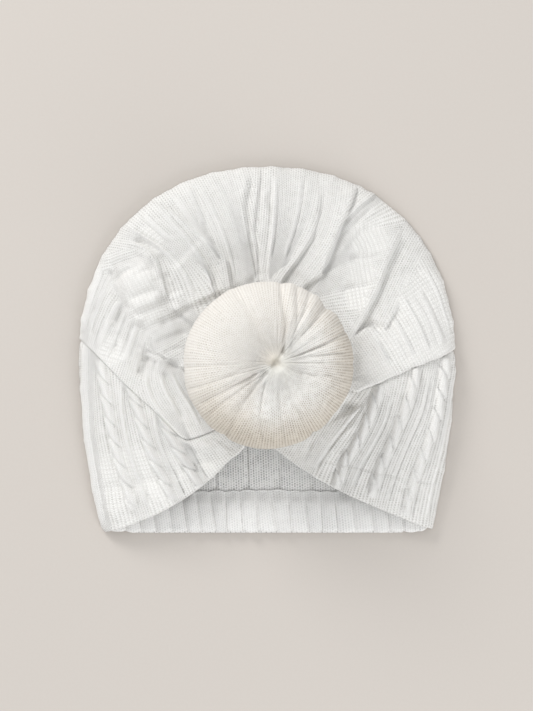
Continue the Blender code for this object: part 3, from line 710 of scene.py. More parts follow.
def crown_roll(angle, share):
    right = roll(arc_from(angle, share, CROWN_RIGHT_EDGE), CROWN_RIGHT_ROLL)
    left = roll(-arc_from(angle, share, CROWN_LEFT_EDGE), CROWN_LEFT_ROLL)
    return (right + left) * calm(angle, share)


# Meshes


def fan(outer, inner, step):
    """Triangles between an edge of many points and one of few, which has every step-th of them."""
    faces = []
    for t in range(len(inner) - 1):
        for s in range(t * step, (t + 1) * step):
            faces.append((outer[s], outer[s + 1], inner[t]))
        faces.append((outer[(t + 1) * step], inner[t + 1], inner[t]))
    return faces


def quads_of(ids, turned=False):
    """Faces between neighbours in a grid of points."""
    a, b, c, d = ids[:-1, :-1], ids[1:, :-1], ids[1:, 1:], ids[:-1, 1:]
    corners = (a, d, c, b) if turned else (a, b, c, d)
    return np.stack(corners, axis=-1).reshape(-1, 4)


def closed_sheet(outer, inner, step, around=False):
    """Points and faces of a closed sheet. The inner grid has every step-th row and column."""
    rows, columns = outer.shape[:2]
    top = np.arange(rows * columns).reshape(rows, columns)
    low = np.arange(inner.shape[0] * inner.shape[1]).reshape(inner.shape[:2]) + top.size
    points = np.concatenate([outer.reshape(-1, 3), inner.reshape(-1, 3)])
    if around:
        top = np.concatenate([top, top[:, :1]], axis=1)
        low = np.concatenate([low, low[:, :1]], axis=1)
    quads = np.concatenate([quads_of(top), quads_of(low, turned=True)])
    edges = [(top[0], low[0]), (top[-1][::-1], low[-1][::-1])]
    if not around:
        edges += [(top[:, 0][::-1], low[:, 0][::-1]), (top[:, -1], low[:, -1])]
    triangles = []
    for many, few in edges:
        triangles += fan(many, few, step)
    return points, quads, np.array(triangles, int)


def hub_fan(ring, hub, turned=False):
    """Triangles from a closed ring of points to the point in its middle."""
    following = np.roll(ring, -1)
    sides = (following, ring) if turned else (ring, following)
    return np.stack([np.full_like(ring, hub), *sides], axis=-1)


def add_object(name, data):
    added = bpy.data.objects.new(name, data)
    bpy.context.scene.collection.objects.link(added)
    return added


def add_mesh(name, points, quads, triangles, corner_uv, looks, material):
    """Makes a piece. corner_uv(faces) gives the knit's coordinates at the corners of faces, and looks
    has each point's share of ladder and of holes, or one pair for all points."""
    looks = np.broadcast_to(looks, (len(points), 2))
    mesh = bpy.data.meshes.new(name)
    corners = np.concatenate([quads.ravel(), triangles.ravel()])
    starts = np.concatenate([np.arange(len(quads)) * 4, len(quads) * 4 + np.arange(len(triangles)) * 3])
    mesh.vertices.add(len(points))
    mesh.vertices.foreach_set("co", (points * MM).astype(np.float32).ravel())
    mesh.loops.add(len(corners))
    mesh.loops.foreach_set("vertex_index", corners.astype(np.int32))
    mesh.polygons.add(len(starts))
    mesh.polygons.foreach_set("loop_start", starts.astype(np.int32))
    mesh.update(calc_edges=True)
    uv = np.concatenate([corner_uv(quads).reshape(-1, 2), corner_uv(triangles).reshape(-1, 2)])
    for layer_name, values in (("knit", uv), ("looks", looks[corners])):
        layer = mesh.uv_layers.new(name=layer_name)
        layer.uv.foreach_set("vector", values.astype(np.float32).ravel())
    mesh.materials.append(material)
    mesh.shade_smooth()
    piece = add_object(name, mesh)
    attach(piece, "root")
    return piece


def panel_uv(found, panel):
    """Corner coordinates that never mix two panels of the knit inside one face."""

    def corners(faces):
        one = panel[faces[:, 0]]
        return found[one[:, None], faces]

    return corners


def even_rows(first, count):
    """Shares of rows evenly apart over the dome, from a first share to the outline."""
    share = share_of_climb(np.linspace(90, 0, 2001))
    out = MIDDLE_RADIUS * share
    up = DOME_HEIGHT * height_share(share)
    length = np.concatenate([[0], np.cumsum(np.hypot(np.diff(out), np.diff(up)))])
    start = np.interp(first, share, length)
    return np.interp(np.linspace(start, length[-1], count + 1), length, share)


def spread(guides, counts, share):
    """Angles of columns between guide lines, row by row."""
    lines = [on_line(g, share) if isinstance(g, tuple) else g for g in guides]
    columns = [lines[0][:, None]]
    for a, b, count in zip(lines, lines[1:], counts):
        t = np.linspace(0, 1, count + 1)[1:]
        columns.append(a[:, None] * (1 - t) + b[:, None] * t)
    return np.concatenate(columns, axis=1)


def edge_round(off, radius):
    """How far a cut edge of cloth is rounded down at this distance from it."""
    inside = np.clip(off / radius, 0, 1)
    return radius * (1 - np.sqrt(np.clip(1 - (1 - inside) ** 2, 0, 1)))


INNER_STEP = 4
KNIT_GAIN = {"crown_knit": 1.12, "left_wrap_knit": 1.35, "right_wrap_knit": 1.1}
# share of stitches open as holes, whose colour is painted shade
OPEN_STITCHES = {"crown_knit": 0.56, "left_wrap_knit": 0.62, "right_wrap_knit": 0.78}
SOFT_ALONG, SOFT_OVERALL = 0.14, 0.35  # unevenness along the knit and of the cloth as a whole
LEAST_CLOTH, LEAST_HEIGHT = 0.35, 0.02
FIRST_SHARE = 0.2  # where the front sheets begin, under the bun
CUT_EDGE_RADIUS, CUT_EDGE_QUIET = 0.7, 1.5  # a cut edge is round, and the knit is flatter beside it


def front_sheet(name, material, angle, share, height, thickness, covered, strokes, panels, lean, edges):
    """A sheet on the dome with its folds, ropes and ribs, which end where it is covered."""
    share = np.repeat(share[:, None], angle.shape[1], axis=1)
    base = dome(angle, share)
    normal = dome_normal(angle, share)
    plan = base[..., :2].reshape(-1, 2)
    quiet = calm(angle, share)
    free = smooth_step(height_share(share) / 0.2) * 0.6 + 0.4
    found, panel = knit_coordinates(plan, panels)
    own = found[panel, np.arange(len(plan))]
    detail = stroke_relief(plan, strokes).reshape(angle.shape) * np.minimum(quiet + 0.15, 1)
    ropes = knit_relief(plan, panels, lean).reshape(angle.shape) * free * KNIT_GAIN[name]
    soft = SOFT_ALONG * soft_noise(own[:, 0] / 3.4, own[:, 1] / 19, 3)
    soft += SOFT_OVERALL * soft_noise(plan[:, 0] / 9, plan[:, 1] / 9, 5)
    soft = soft.reshape(angle.shape) * np.minimum(quiet + 0.1, 1)
    stand = height(angle, share)
    cloth = thickness(angle, share)
    fine = (detail + ropes + soft + rim_relief(angle, share)) * (1 - covered(angle, share))
    near_edge = np.ones_like(share)
    inland = np.ones_like(share)
    down = np.zeros_like(share)
    for line, turn in edges:
        off = turn * arc_from(angle, share, line)
        down += edge_round(off, CUT_EDGE_RADIUS)
        near_edge *= smooth_step(off / CUT_EDGE_QUIET) * 0.75 + 0.25
        inland *= smooth_step((off - TUCK) / 2)
    relief = fine * near_edge - down
    # the inner side follows dents that are deeper than the cloth
    deep = np.minimum(relief + cloth - LEAST_CLOTH, 0)
    outer = base + (stand + relief - deep * (1 - inland))[..., None] * normal
    inner = base + (stand - cloth + deep * inland)[..., None] * normal
    outer[..., 2] = np.maximum(outer[..., 2], LEAST_HEIGHT)
    coarse = inner[::INNER_STEP, ::INNER_STEP]
    points, quads, triangles = closed_sheet(outer, coarse, INNER_STEP)
    ids = np.arange(angle.size).reshape(angle.shape)[::INNER_STEP, ::INNER_STEP].ravel()
    found = np.concatenate([found, found[:, ids]], axis=1)
    panel = np.concatenate([panel, panel[ids]])
    off_ropes = 1 - smooth_step(ropes.ravel() / 0.5)
    looks = np.stack([zone_amount(plan, LADDERS), np.full(len(plan), OPEN_STITCHES[name])], axis=-1)
    looks = looks * off_ropes[:, None]
    looks = np.concatenate([looks, looks[ids]])
    return add_mesh(name, points, quads, triangles, panel_uv(found, panel), looks, material)


CROWN_GUIDES = (CROWN_RIGHT_EDGE, *(fold[-1] for fold in FOLDS), CROWN_LEFT_EDGE)
CROWN_COUNTS = (76, 52, 36, 28, 16, 40, 24, 44, 76, 84)
CROWN_ROWS = 160
EDGE_THINNER, EDGE_THIN_WIDTH = 0.95, 4  # the crown's cloth is thinner at its cut edges


def crown(material):
    """The front of the cap, from side fold to side fold, with the main folds."""
    share = even_rows(FIRST_SHARE, CROWN_ROWS)
    angle = spread(CROWN_GUIDES, CROWN_COUNTS, share)

    def thickness(a, s):
        off = np.minimum(arc_from(a, s, CROWN_RIGHT_EDGE), -arc_from(a, s, CROWN_LEFT_EDGE))
        return CLOTH + crown_roll(a, s) - EDGE_THINNER * (1 - smooth_step(off / EDGE_THIN_WIDTH))

    return front_sheet(
        "crown_knit",
        material,
        angle,
        share,
        height=lambda a, s: crown_height(a, s) + crown_roll(a, s),
        thickness=thickness,
        covered=lambda a, s: 0,
        strokes=CROWN_STROKES,
        panels=CROWN_KNIT,
        lean=1,
        edges=((CROWN_RIGHT_EDGE, 1), (CROWN_LEFT_EDGE, -1)),
    )


WRAP_ROWS, WRAP_COUNTS = 152, (136, 14, 26)
COVER_FADE, UNDER_GAP = 0.7, 0.35  # how soon a wrap shows its knit past the crown, and its gap below
BESIDE = 4  # where the columns close up beside the crown's edge
WRAPS = {
    # free edge, the crown's edge, side, how far it sags, how soon it dips under the crown, and knit
    "left_wrap": (LEFT_WRAP_EDGE, CROWN_LEFT_EDGE, -1, 2, 1.7, LEFT_KNIT),
    "right_wrap": (RIGHT_WRAP_EDGE, CROWN_RIGHT_EDGE, 1, 3, 2.3, RIGHT_KNIT),
}


def wrap(node, material):
    """A lower front panel, from its free edge to where it is tucked under the crown."""
    free_edge, crown_edge, turn, drop, dip_width, panels = WRAPS[node]
    share = even_rows(FIRST_SHARE, WRAP_ROWS)
    at_crown = on_line(crown_edge, share)
    out = distance(at_crown, share)
    tuck = np.minimum(np.degrees(TUCK / out), TUCK_MOST_ANGLE)
    beside = np.degrees(BESIDE / out)
    guides = [on_line(free_edge, share), at_crown - turn * beside, at_crown, at_crown + turn * tuck]
    angle = spread(guides, WRAP_COUNTS, share)
    if turn < 0:
        angle = angle[:, ::-1]

    def from_free(a, s):
        return turn * arc_from(a, s, free_edge)

    def rolled(a, s):
        return roll(from_free(a, s), WRAP_ROLL) * calm(a, s)

    def past(a, s):
        return -turn * arc_from(a, s, crown_edge)

    def covered(a, s):
        return np.exp(-np.maximum(past(a, s), 0) / COVER_FADE)

    def height(a, s):
        under = np.exp(-np.maximum(past(a, s), 0) / dip_width)
        thin = EDGE_THINNER * (1 - smooth_step(-past(a, s) / EDGE_THIN_WIDTH))
        below_crown = np.minimum(crown_height(a, s), 0) - CLOTH - UNDER_GAP + thin
        span = np.abs(on_line(crown_edge, s) - on_line(free_edge, s))
        near_edge = 1 - np.abs(a - on_line(free_edge, s)) / span
        part = smooth_step((s - FIRST_SHARE) / (1 - FIRST_SHARE))
        sag = drop * smooth_step(near_edge) * np.sin(math.pi * part)
        return under * below_crown - (1 - under) * sag + rolled(a, s)

    def thickness(a, s):
        doubled = smooth_step((HEM_WIDTH - from_free(a, s)) / (0.2 * HEM_WIDTH))
        return CLOTH + (HEM_CLOTH - CLOTH) * doubled * calm(a, s) + rolled(a, s)

    return front_sheet(
        node + "_knit",
        material,
        angle,
        share,
        height,
        thickness,
        covered,
        strokes=WRAP_STROKES[node],
        panels=panels,
        lean=-1,
        edges=((free_edge, turn),),
    )


MOUTH_ANGLES, MOUTH_FADE = (228.5, 311.5), 3  # between these the back reaches the outline
RIM_GAPS = 2.3  # gaps between the back and the front's rim
DOUBLE_RIM, DOUBLE_RIM_FADE = 11, 4  # degrees round the side folds where the rim is two sheets thick
SLOPE_STEP = 1.5  # degrees


def panel_distance(angle):
    """Distance of the back panel's edge: inside the front's rims, and at the outline across the mouth."""
    before, here, after = (reach(angle + turn) for turn in (-SLOPE_STEP, 0, SLOPE_STEP))
    slope = (after - before) / (2 * math.radians(SLOPE_STEP) * here)
    nearest = np.minimum(np.minimum(before, here), after)
    doubled = sum(
        smooth_step((DOUBLE_RIM - abs(signed(angle - edge[-1][1]))) / DOUBLE_RIM_FADE)
        for edge in (CROWN_LEFT_EDGE, CROWN_RIGHT_EDGE)
    )
    rim = (CLOTH + RIM_GAPS * GAP) * (1 + doubled)
    first, last = MOUTH_ANGLES
    mouth = smooth_step((angle - first) / MOUTH_FADE) * smooth_step((last - angle) / MOUTH_FADE)
    return here * mouth + (nearest - rim * np.hypot(1, slope)) * (1 - mouth)


PANEL_ROWS, PANEL_COLUMNS, PANEL_STEP = 96, 640, 2
# shares of stitches open as holes, whose colour is painted shade
BACK_OPEN_STITCHES, HEM_OPEN_STITCHES = 0.95, 0.4
BACK_RIB_X, BACK_RIB_LEAN = 3.6, 0.04  # where the middle rib is, and how it leans
BACK_RIB_HEIGHT, BACK_GROOVE, BACK_UNEVEN, BACK_UNDER = 0.35, 0.9, 0.12, 0.35


def across_back(x, y):
    """Place across the back's knit, where every other repeat has a rib."""
    return x - BACK_RIB_X + BACK_RIB_LEAN * y + REPEAT


def back_panel(material):
    """The back of the cap: ribs inside, where the mouth shows them, and the knit pressed flat under it."""
    angle = np.linspace(0, 360, PANEL_COLUMNS, endpoint=False)
    share = np.linspace(0.02, 1, PANEL_ROWS + 1)
    out = panel_distance(angle)[None, :] * share[:, None]
    x, y = around_centre(angle[None, :], out)
    to_edge = panel_distance(angle)[None, :] - out
    round_off = edge_round(to_edge, 0.8)
    off = across_back(x, y) % (2 * REPEAT) - REPEAT
    ribs = BACK_RIB_HEIGHT * bell((off - 1.0) / 0.7) - BACK_GROOVE * bell(off / 0.6)
    ribs *= smooth_step(to_edge / 3) * smooth_step((y + HALF_LENGTH - HEM_WIDTH) / 2)
    soft = BACK_UNEVEN * (soft_noise(x / 4, y / 16, 8) - 1)
    top = CLOTH - round_off * 0.6 + np.clip(ribs + soft, -0.8, 0.3)
    pressed = np.abs(np.sin(math.pi * (x - 0.05 * y) / REPEAT)) ** 0.5
    under = BACK_UNDER * (1 - pressed) * smooth_step(to_edge / 4)
    outer = np.stack([x, y, top], axis=-1)
    inner = np.stack([x, y, under], axis=-1)[::PANEL_STEP, ::PANEL_STEP]
    points, quads, triangles = closed_sheet(outer, inner, PANEL_STEP, around=True)
    # the middle closes with a fan on either side
    hub_top = len(points)
    points = np.concatenate([points, [[CENTRE[0], CENTRE[1], CLOTH], [CENTRE[0], CENTRE[1], 0.0]]])
    top_ring = np.arange(PANEL_COLUMNS)
    low_ring = np.arange(PANEL_COLUMNS // PANEL_STEP) + outer.shape[0] * outer.shape[1]
    keep = ~np.isin(triangles, np.concatenate([top_ring, low_ring])).all(axis=1)
    triangles = triangles[keep]
    fans = [hub_fan(top_ring, hub_top), hub_fan(low_ring, hub_top + 1, turned=True)]
    triangles = np.concatenate([triangles, *fans])
    uv = np.stack([across_back(points[:, 0], points[:, 1]), points[:, 1]], axis=-1)
    looks = (0, BACK_OPEN_STITCHES)
    return add_mesh("back_knit", points, quads, triangles, lambda f: uv[f], looks, material)


HEM_HALF, HEM_INSET, HEM_BAND, HEM_END, HEM_CORNER = 73, 0.6, 1.2, 12, 4
HEM_SLOPE = 12  # how far from its upper edge the band reaches its full thickness
HEM_GAP, HEM_LEAST = 0.08, 0.06  # its gap over the back, and its least thickness
HEM_RIB_HEIGHT, HEM_RIB_PITCH, HEM_GROOVE, HEM_GROOVE_WIDTH = 1.8, 7, 0.5, 0.45
HEM_LOWER_WAVE, HEM_UPPER_WAVE = 1.2, 0.9  # how far its edges swing out at its ribs
HEM_COLUMNS, HEM_ROWS = 336, 40
HEM_LINES = (
    # lines of the hem's ribs in pixels: x at its upper edge, x at its lower edge
    (134, 141), (150, 156), (166, 172), (181, 187), (195, 201), (209, 216), (225, 227), (240, 243),
    (256, 259), (269, 277), (288, 291), (303, 309), (320, 322), (334, 338), (352, 356), (369, 374),
    (386, 390), (401, 404),
)


def rib_count(across, lines):
    """How many ribs lie to the left of each place, counted on at an even pitch past the last lines."""
    inside = np.interp(across, lines, np.arange(len(lines)))
    past = np.maximum(across - lines[-1], 0) + np.minimum(across - lines[0], 0)
    return inside + past / HEM_RIB_PITCH


def back_hem(material):
    """The back's hem, turned in over its inner face."""
    across = np.linspace(-HEM_HALF, HEM_HALF, HEM_COLUMNS + 1)
    along = np.linspace(0, 1, HEM_ROWS + 1)
    x, t = np.meshgrid(across, along)
    lower, upper = -HALF_LENGTH + HEM_INSET, -HALF_LENGTH + HEM_WIDTH
    tops, feet = (np.array(HEM_LINES, float).T - PIXEL_CENTRE[0]) * PIXEL
    places = feet[None, :] * (1 - along[:, None]) + tops[None, :] * along[:, None]
    repeat = np.stack([rib_count(across, row) for row in places])
    phase = repeat - np.floor(repeat)
    bulge = np.sin(math.pi * phase) ** 0.7
    strong = 0.75 + 0.35 * (np.floor(repeat) % 2)
    wave = 0.15 + 0.85 * bulge * strong
    inwards = smooth_step((HEM_HALF - np.abs(x)) / HEM_END)
    full = 0.3 + 0.7 * inwards
    y = lower + (upper - lower) * t
    y = y - HEM_LOWER_WAVE * (wave - 0.6) * (1 - smooth_step(t / 0.25)) * inwards
    drift = 0.5 * soft_noise(x / 22 + 3, x / 30, 61)
    y = y + HEM_UPPER_WAVE * (wave - 0.75 + drift) * smooth_step((t - 0.6) / 0.4) * inwards
    past = np.clip(np.abs(x) - (HEM_HALF - HEM_CORNER), 0, HEM_CORNER)
    y = y + (HEM_CORNER - np.sqrt(HEM_CORNER**2 - past**2)) * (1 - t)
    foot = CLOTH + HEM_GAP
    # a rounded fold below, and above a slope that ends in the cloth of the back
    round_off = edge_round(t * (upper - lower), 1.3)
    soft = 0.12 * soft_noise(x / 5, y / 7, 12)
    from_top = (1 - t) * (upper - lower)
    risen = 0.15 + 0.85 * smooth_step(from_top / HEM_SLOPE)
    groove = bell((phase - np.round(phase)) * HEM_RIB_PITCH / HEM_GROOVE_WIDTH)
    ribs = HEM_RIB_HEIGHT * wave + soft - HEM_GROOVE * groove
    ribs *= 0.15 + 0.85 * smooth_step(from_top / 6)
    z = foot + HEM_LEAST + np.maximum((HEM_BAND * risen + ribs - round_off) * full, 0)
    outer = np.stack([x, y, z], axis=-1)
    inner = np.stack([x, y, np.full_like(x, foot)], axis=-1)[::INNER_STEP, ::INNER_STEP]
    # columns run with +X, so the grid is turned to face up
    points, quads, triangles = closed_sheet(outer[:, ::-1], inner[:, ::-1], INNER_STEP)
    uv_top = np.stack([repeat * REPEAT, y], axis=-1)[:, ::-1]
    uv = np.concatenate([uv_top.reshape(-1, 2), uv_top[::INNER_STEP, ::INNER_STEP].reshape(-1, 2)])
    looks = (0, HEM_OPEN_STITCHES)
    hem = add_mesh(
        "back_hem_knit", points, quads, triangles, lambda f: uv[f], looks, material
    )
    hem.data.set_sharp_from_angle(angle=math.radians(60))
    return hem


BUN_COLUMNS, BUN_ROWS = 720, 124
TAIL_LENGTH = 5
CREASE_LIMIT = 2.6  # of the bun's pleats
BUN_UNEVEN, BUN_SOFT = 0.45, 0.25  # unevenness of its outline and of its surface


def bun_profile(count):
    """Distance from the bun's middle and height over its foot, evenly spaced, from the tail to the eye."""
    middle = 0.47 * BUN_HEIGHT
    under = [
        (BUN_FOOT_RADIUS + (BUN_RADIUS - BUN_FOOT_RADIUS) * math.sin(a), middle * (1 - math.cos(a)))
        for a in np.linspace(0, math.pi / 2, 60)
    ]
    over = [
        (
            BUN_CREST_RADIUS + (BUN_RADIUS - BUN_CREST_RADIUS) * math.cos(a),
            middle + (BUN_HEIGHT - middle) * math.sin(a),
        )
        for a in np.linspace(0, math.pi / 2, 60)[1:]
    ]
    dip = [
        (BUN_CREST_RADIUS * (1 - t), BUN_HEIGHT - BUN_EYE_DEPTH * t**8)
        for t in np.linspace(0, 0.975, 40)[1:]
    ]
    tail = [(GATHER_RADIUS - GAP, -TAIL_LENGTH), (GATHER_RADIUS - GAP, 0.0)]
    line = np.array([*tail, *under, *over, *dip])
    length = np.concatenate([[0], np.cumsum(np.hypot(*np.diff(line, axis=0).T))])
    ease = np.linspace(0, length[-1], count + 1)
    return np.stack([np.interp(ease, length, line[:, k]) for k in (0, 1)], axis=-1), ease


def bun_surface(profile, angle):
    """Points of the smooth bun and its normals, row by row from the tail to the eye."""
    radians = np.radians(angle)[None, :]
    out, up = profile[:, 0][:, None], profile[:, 1][:, None]
    spread_out = np.clip((out - BUN_FOOT_RADIUS) / (BUN_RADIUS - BUN_FOOT_RADIUS), 0, 1)
    on_top = smooth_step((up - 0.3 * BUN_HEIGHT) / (0.15 * BUN_HEIGHT))
    pull = (1 - out / BUN_RADIUS) * on_top
    lip = BUN_LIP * bell(angle / BUN_LIP_HALF_ANGLE)[None, :]
    bulge = lip * spread_out * bell((up / BUN_HEIGHT - 0.25) / 0.15)
    uneven = BUN_UNEVEN * soft_noise(3 * np.cos(radians) + 9, 3 * np.sin(radians) + 9, 44)
    x, y = around_centre(angle[None, :], out + bulge + (uneven - 0.2) * spread_out)
    x = x + BUN_EYE[0] * pull
    y = y + BUN_EYE[1] * pull
    z = np.broadcast_to(up + DOME_HEIGHT + GAP, x.shape)
    base = np.stack([x, y, z], axis=-1)
    around = np.roll(base, -1, axis=1) - np.roll(base, 1, axis=1)
    normal = np.cross(around, np.gradient(base, axis=0))
    return base, normal / np.maximum(np.linalg.norm(normal, axis=-1, keepdims=True), 1e-9)


def bun_gathers(x, y, bearing, from_eye):
    """Many small folds that run to the eye, fainter to its upper left and below it."""
    gathers = np.zeros_like(x)
    for count, size, seed in BUN_GATHERS:
        drift = 0.8 * soft_noise(x / 15 + 9, y / 15 + 9, seed)
        fold = np.abs(np.sin(np.radians(bearing) * count / 2 + drift)) ** 0.6 - 0.65
        strength = 0.6 + 0.4 * soft_noise(x / 10 + 30, y / 10 + 30, seed + 7)
        gathers += size * fold * strength
    to_right = bell((bearing + 5) / 50)
    gathers *= 0.45 + 0.75 * smooth_step(from_eye / 7)
    gathers *= 1 - 0.75 * smooth_step((from_eye - 14 - 8 * to_right) / 16)
    gathers *= 1 - 0.8 * bell((bearing - 135) / 38) * smooth_step((from_eye - 6) / 8)
    gathers *= 1 - 0.6 * bell((bearing + 85) / 32) * smooth_step(from_eye / 5)
    return gathers


def bun_creases(plan, upper, from_eye):
    """The large pleats, none deeper than CREASE_LIMIT, and lower near the eye."""
    creases = stroke_relief(plan, BUN_STROKES).reshape(from_eye.shape)
    creases *= upper * (1 - 0.5 * smooth_step((from_eye - 20) / 16))
    creases *= 0.5 + 0.5 * smooth_step((from_eye - 1) / 7)
    creases = CREASE_LIMIT * np.tanh(1.4 * creases / CREASE_LIMIT)
    creases = np.minimum(creases, 0.5 + 1.7 * smooth_step((from_eye - 4) / 8))
    return creases + stroke_relief(plan, BUN_EYE_CREASE).reshape(from_eye.shape)


def bun(material):
    """The padded, pleated bun with its short tail."""
    profile, run = bun_profile(BUN_ROWS)
    angle = np.linspace(-180, 180, BUN_COLUMNS, endpoint=False)
    base, normal = bun_surface(profile, angle)
    x, y, up = base[..., 0], base[..., 1], profile[:, 1][:, None]
    eye = CENTRE + np.array(BUN_EYE)
    bearing = np.degrees(np.arctan2(y - eye[1], x - eye[0]))
    from_eye = np.hypot(x - eye[0], y - eye[1])
    creases = bun_creases(base[..., :2].reshape(-1, 2), smooth_step((up - 2) / 9), from_eye)
    gathers = bun_gathers(x, y, bearing, from_eye) * smooth_step((up - 4) / 6)
    soft = BUN_SOFT * soft_noise(x / 8 + 20, y / 8 + 20, 41) * smooth_step(up / 4)
    tight = 0.35 + 0.65 * smooth_step(from_eye / 2.5)
    points = base + ((creases + gathers + soft) * tight)[..., None] * normal
    ids = np.arange(x.size).reshape(x.shape)
    ids = np.concatenate([ids, ids[:, :1]], axis=1)
    flat = points.reshape(-1, 3)
    tail_end = [CENTRE[0], CENTRE[1], DOME_HEIGHT + GAP - TAIL_LENGTH]
    eye_end = flat[ids[-1, :-1]].mean(axis=0)
    fans = [hub_fan(ids[0, :-1], len(flat), turned=True), hub_fan(ids[-1, :-1], len(flat) + 1)]
    flat = np.concatenate([flat, [tail_end], [eye_end]])
    wale = (angle + 180) / 360 * BUN_WALES
    u = np.broadcast_to(wale[None, :], x.shape)
    v = np.broadcast_to(run[:, None], x.shape)
    uv = np.concatenate([np.stack([u, v], axis=-1).reshape(-1, 2), [[0, 0]], [[0, run[-1]]]])

    def corners(faces):
        found = uv[faces].copy()
        wales = found[..., 0]
        wrapped = (wales.max(axis=1) - wales.min(axis=1)) > BUN_WALES / 2
        wales[wrapped] += BUN_WALES * (wales[wrapped] < BUN_WALES / 2)
        return found

    looks = np.zeros((len(flat), 2))
    # the stitches are wider open to the right and below, which gives more of the holes' painted shade
    # there
    side = smooth_step(0.5 + ((x - eye[0]) * 0.64 - (y - eye[1]) * 0.77) / 50)
    looks[:-2, 1] = (0.5 + 0.75 * side).ravel()
    quads = quads_of(ids, turned=True)
    return add_mesh("bun_knit", flat, quads, np.concatenate(fans), corners, looks, material)


# Materials

# Width of a wale and height of a course in millimetres, and the colours of the yarn, of the painted shade
# between stitches and of the painted shade in the depth of the holes
WHITE_KNIT = (1.15, 1.05, (0.91, 0.905, 0.888, 1), (0.755, 0.745, 0.715, 1), (0.33, 0.315, 0.275, 1))
# the inner knit is the white yarn painted brighter, as painted light in the shaded mouth and on the hem
LIT_INNER_KNIT = (1.15, 1.15, (0.98, 0.975, 0.96, 1), (0.88, 0.875, 0.857, 1), (0.3, 0.295, 0.28, 1))
CREAM_KNIT = (1.0, 1.25, (0.94, 0.917, 0.877, 1), (0.8, 0.763, 0.7, 1), (0.46, 0.385, 0.3, 1))
PATCH_TINT = (0.975, 0.968, 0.96, 1)  # of broad patches that are a little darker
RUNG_PITCH, LADDER_WALE = 1.95, 2.3  # of the stretched knit
BUMP_STRENGTH, BUMP_DISTANCE = 0.9, 0.00034
# painted shade in the hollow beside the eye and in the eye
BUN_EYE_HOLLOW_SHADE, BUN_EYE_SHADE = (0.66, 0.62, 0.55, 1), (0.48, 0.45, 0.38, 1)  # beside the eye and in it
# the bun's white side is whiter, and painted brighter still as painted light where it turns from the key
# lamp
BUN_WHITE_SHADE, BUN_WHITE_LIT_YARN = (0.9, 0.89, 0.853, 1), (0.98, 0.972, 0.94, 1)
BUN_WHITE_HOLLOW_SHADE = (0.78, 0.77, 0.725, 1)
BUN_WHITE_AIM = math.radians(-24)  # the direction of the bun's white side from its eye
# painted shade on the bun's rim, below and to the right, away from the key lamp
BUN_RIM_SHADE = (0.73, 0.68, 0.605, 1)
CLOTH_SHADER = {
    "Roughness": 0.92,
    "Specular IOR Level": 0.25,
    "Sheen Weight": 0.35,
    "Sheen Roughness": 0.45,
    "Sheen Tint": (1, 0.99, 0.97, 1),
}
FLOOR_COLOURS = ((0.56, 0.52, 0.48, 1), (0.58, 0.54, 0.5, 1))


class Value:
    """A number that a material's nodes work out. What is done with it becomes a node."""

    def __init__(self, nodes, socket):
        self.nodes = nodes
        self.socket = socket

    def __add__(self, other):
        return self.nodes.math("ADD", self, other)

    def __sub__(self, other):
        return self.nodes.math("SUBTRACT", self, other)

    def __rsub__(self, other):
        return self.nodes.math("SUBTRACT", other, self)

    def __mul__(self, other):
        return self.nodes.math("MULTIPLY", self, other)

    def __truediv__(self, other):
        return self.nodes.math("DIVIDE", self, other)

    def __abs__(self):
        return self.nodes.math("ABSOLUTE", self)

    def fraction(self):
        return self.nodes.math("FRACT", self)

    def larger(self, other):
        return self.nodes.math("MAXIMUM", self, other)

    def wave(self):
        """A bow from 0 up to 1 and back to 0, as the value goes from one whole number to the next."""
        return self.nodes.math("SINE", self.fraction() * math.pi)

    def ramp(self, low, high):
        """0 below low, 1 above high, smooth between."""
        node = self.nodes.add("MapRange")
        node.interpolation_type = "SMOOTHSTEP"
        self.nodes.fill(node, {"Value": self, "From Min": low, "From Max": high})
        return Value(self.nodes, node.outputs[0])


class Nodes:
    """A short way to lay out a material's nodes."""

    def __init__(self, name):
        self.material = bpy.data.materials.new(name)
        self.material.use_nodes = True
        self.tree = self.material.node_tree
        self.shader = self.tree.nodes["Principled BSDF"]
        self.place = self.add("TexCoord").outputs["Object"]

    def add(self, kind):
        return self.tree.nodes.new("ShaderNode" + kind)

    def fill(self, node, inputs):
        """Sets or links a node's inputs, given by name or number."""
        for key, value in inputs.items():
            value = value.socket if isinstance(value, Value) else value
            if isinstance(value, bpy.types.NodeSocket):
                self.tree.links.new(value, node.inputs[key])
            else:
                node.inputs[key].default_value = value

    def math(self, operation, a, b=0.0):
        node = self.add("Math")
        node.operation = operation
        self.fill(node, {0: a, 1: b})
        return Value(self, node.outputs[0])

    def length(self, a, b):
        return self.math("SQRT", a * a + b * b)

    def noise(self, scale, detail=2.0, roughness=0.5):
        node = self.add("TexNoise")
        self.fill(node, {"Vector": self.place, "Scale": scale, "Detail": detail, "Roughness": roughness})
        return Value(self, node.outputs[0])

    def parts(self, vector):
        """A vector's X, Y and Z."""
        node = self.add("SeparateXYZ")
        self.fill(node, {0: vector})
        return [Value(self, socket) for socket in node.outputs]

    def uv(self, layer):
        node = self.add("UVMap")
        node.uv_map = layer
        return self.parts(node.outputs[0])[:2]

    def mix(self, part, a, b, blend="MIX"):
        node = self.add("Mix")
        node.data_type = "RGBA"
        node.blend_type = blend
        self.fill(node, {0: part, 6: a, 7: b})
        return node.outputs[2]


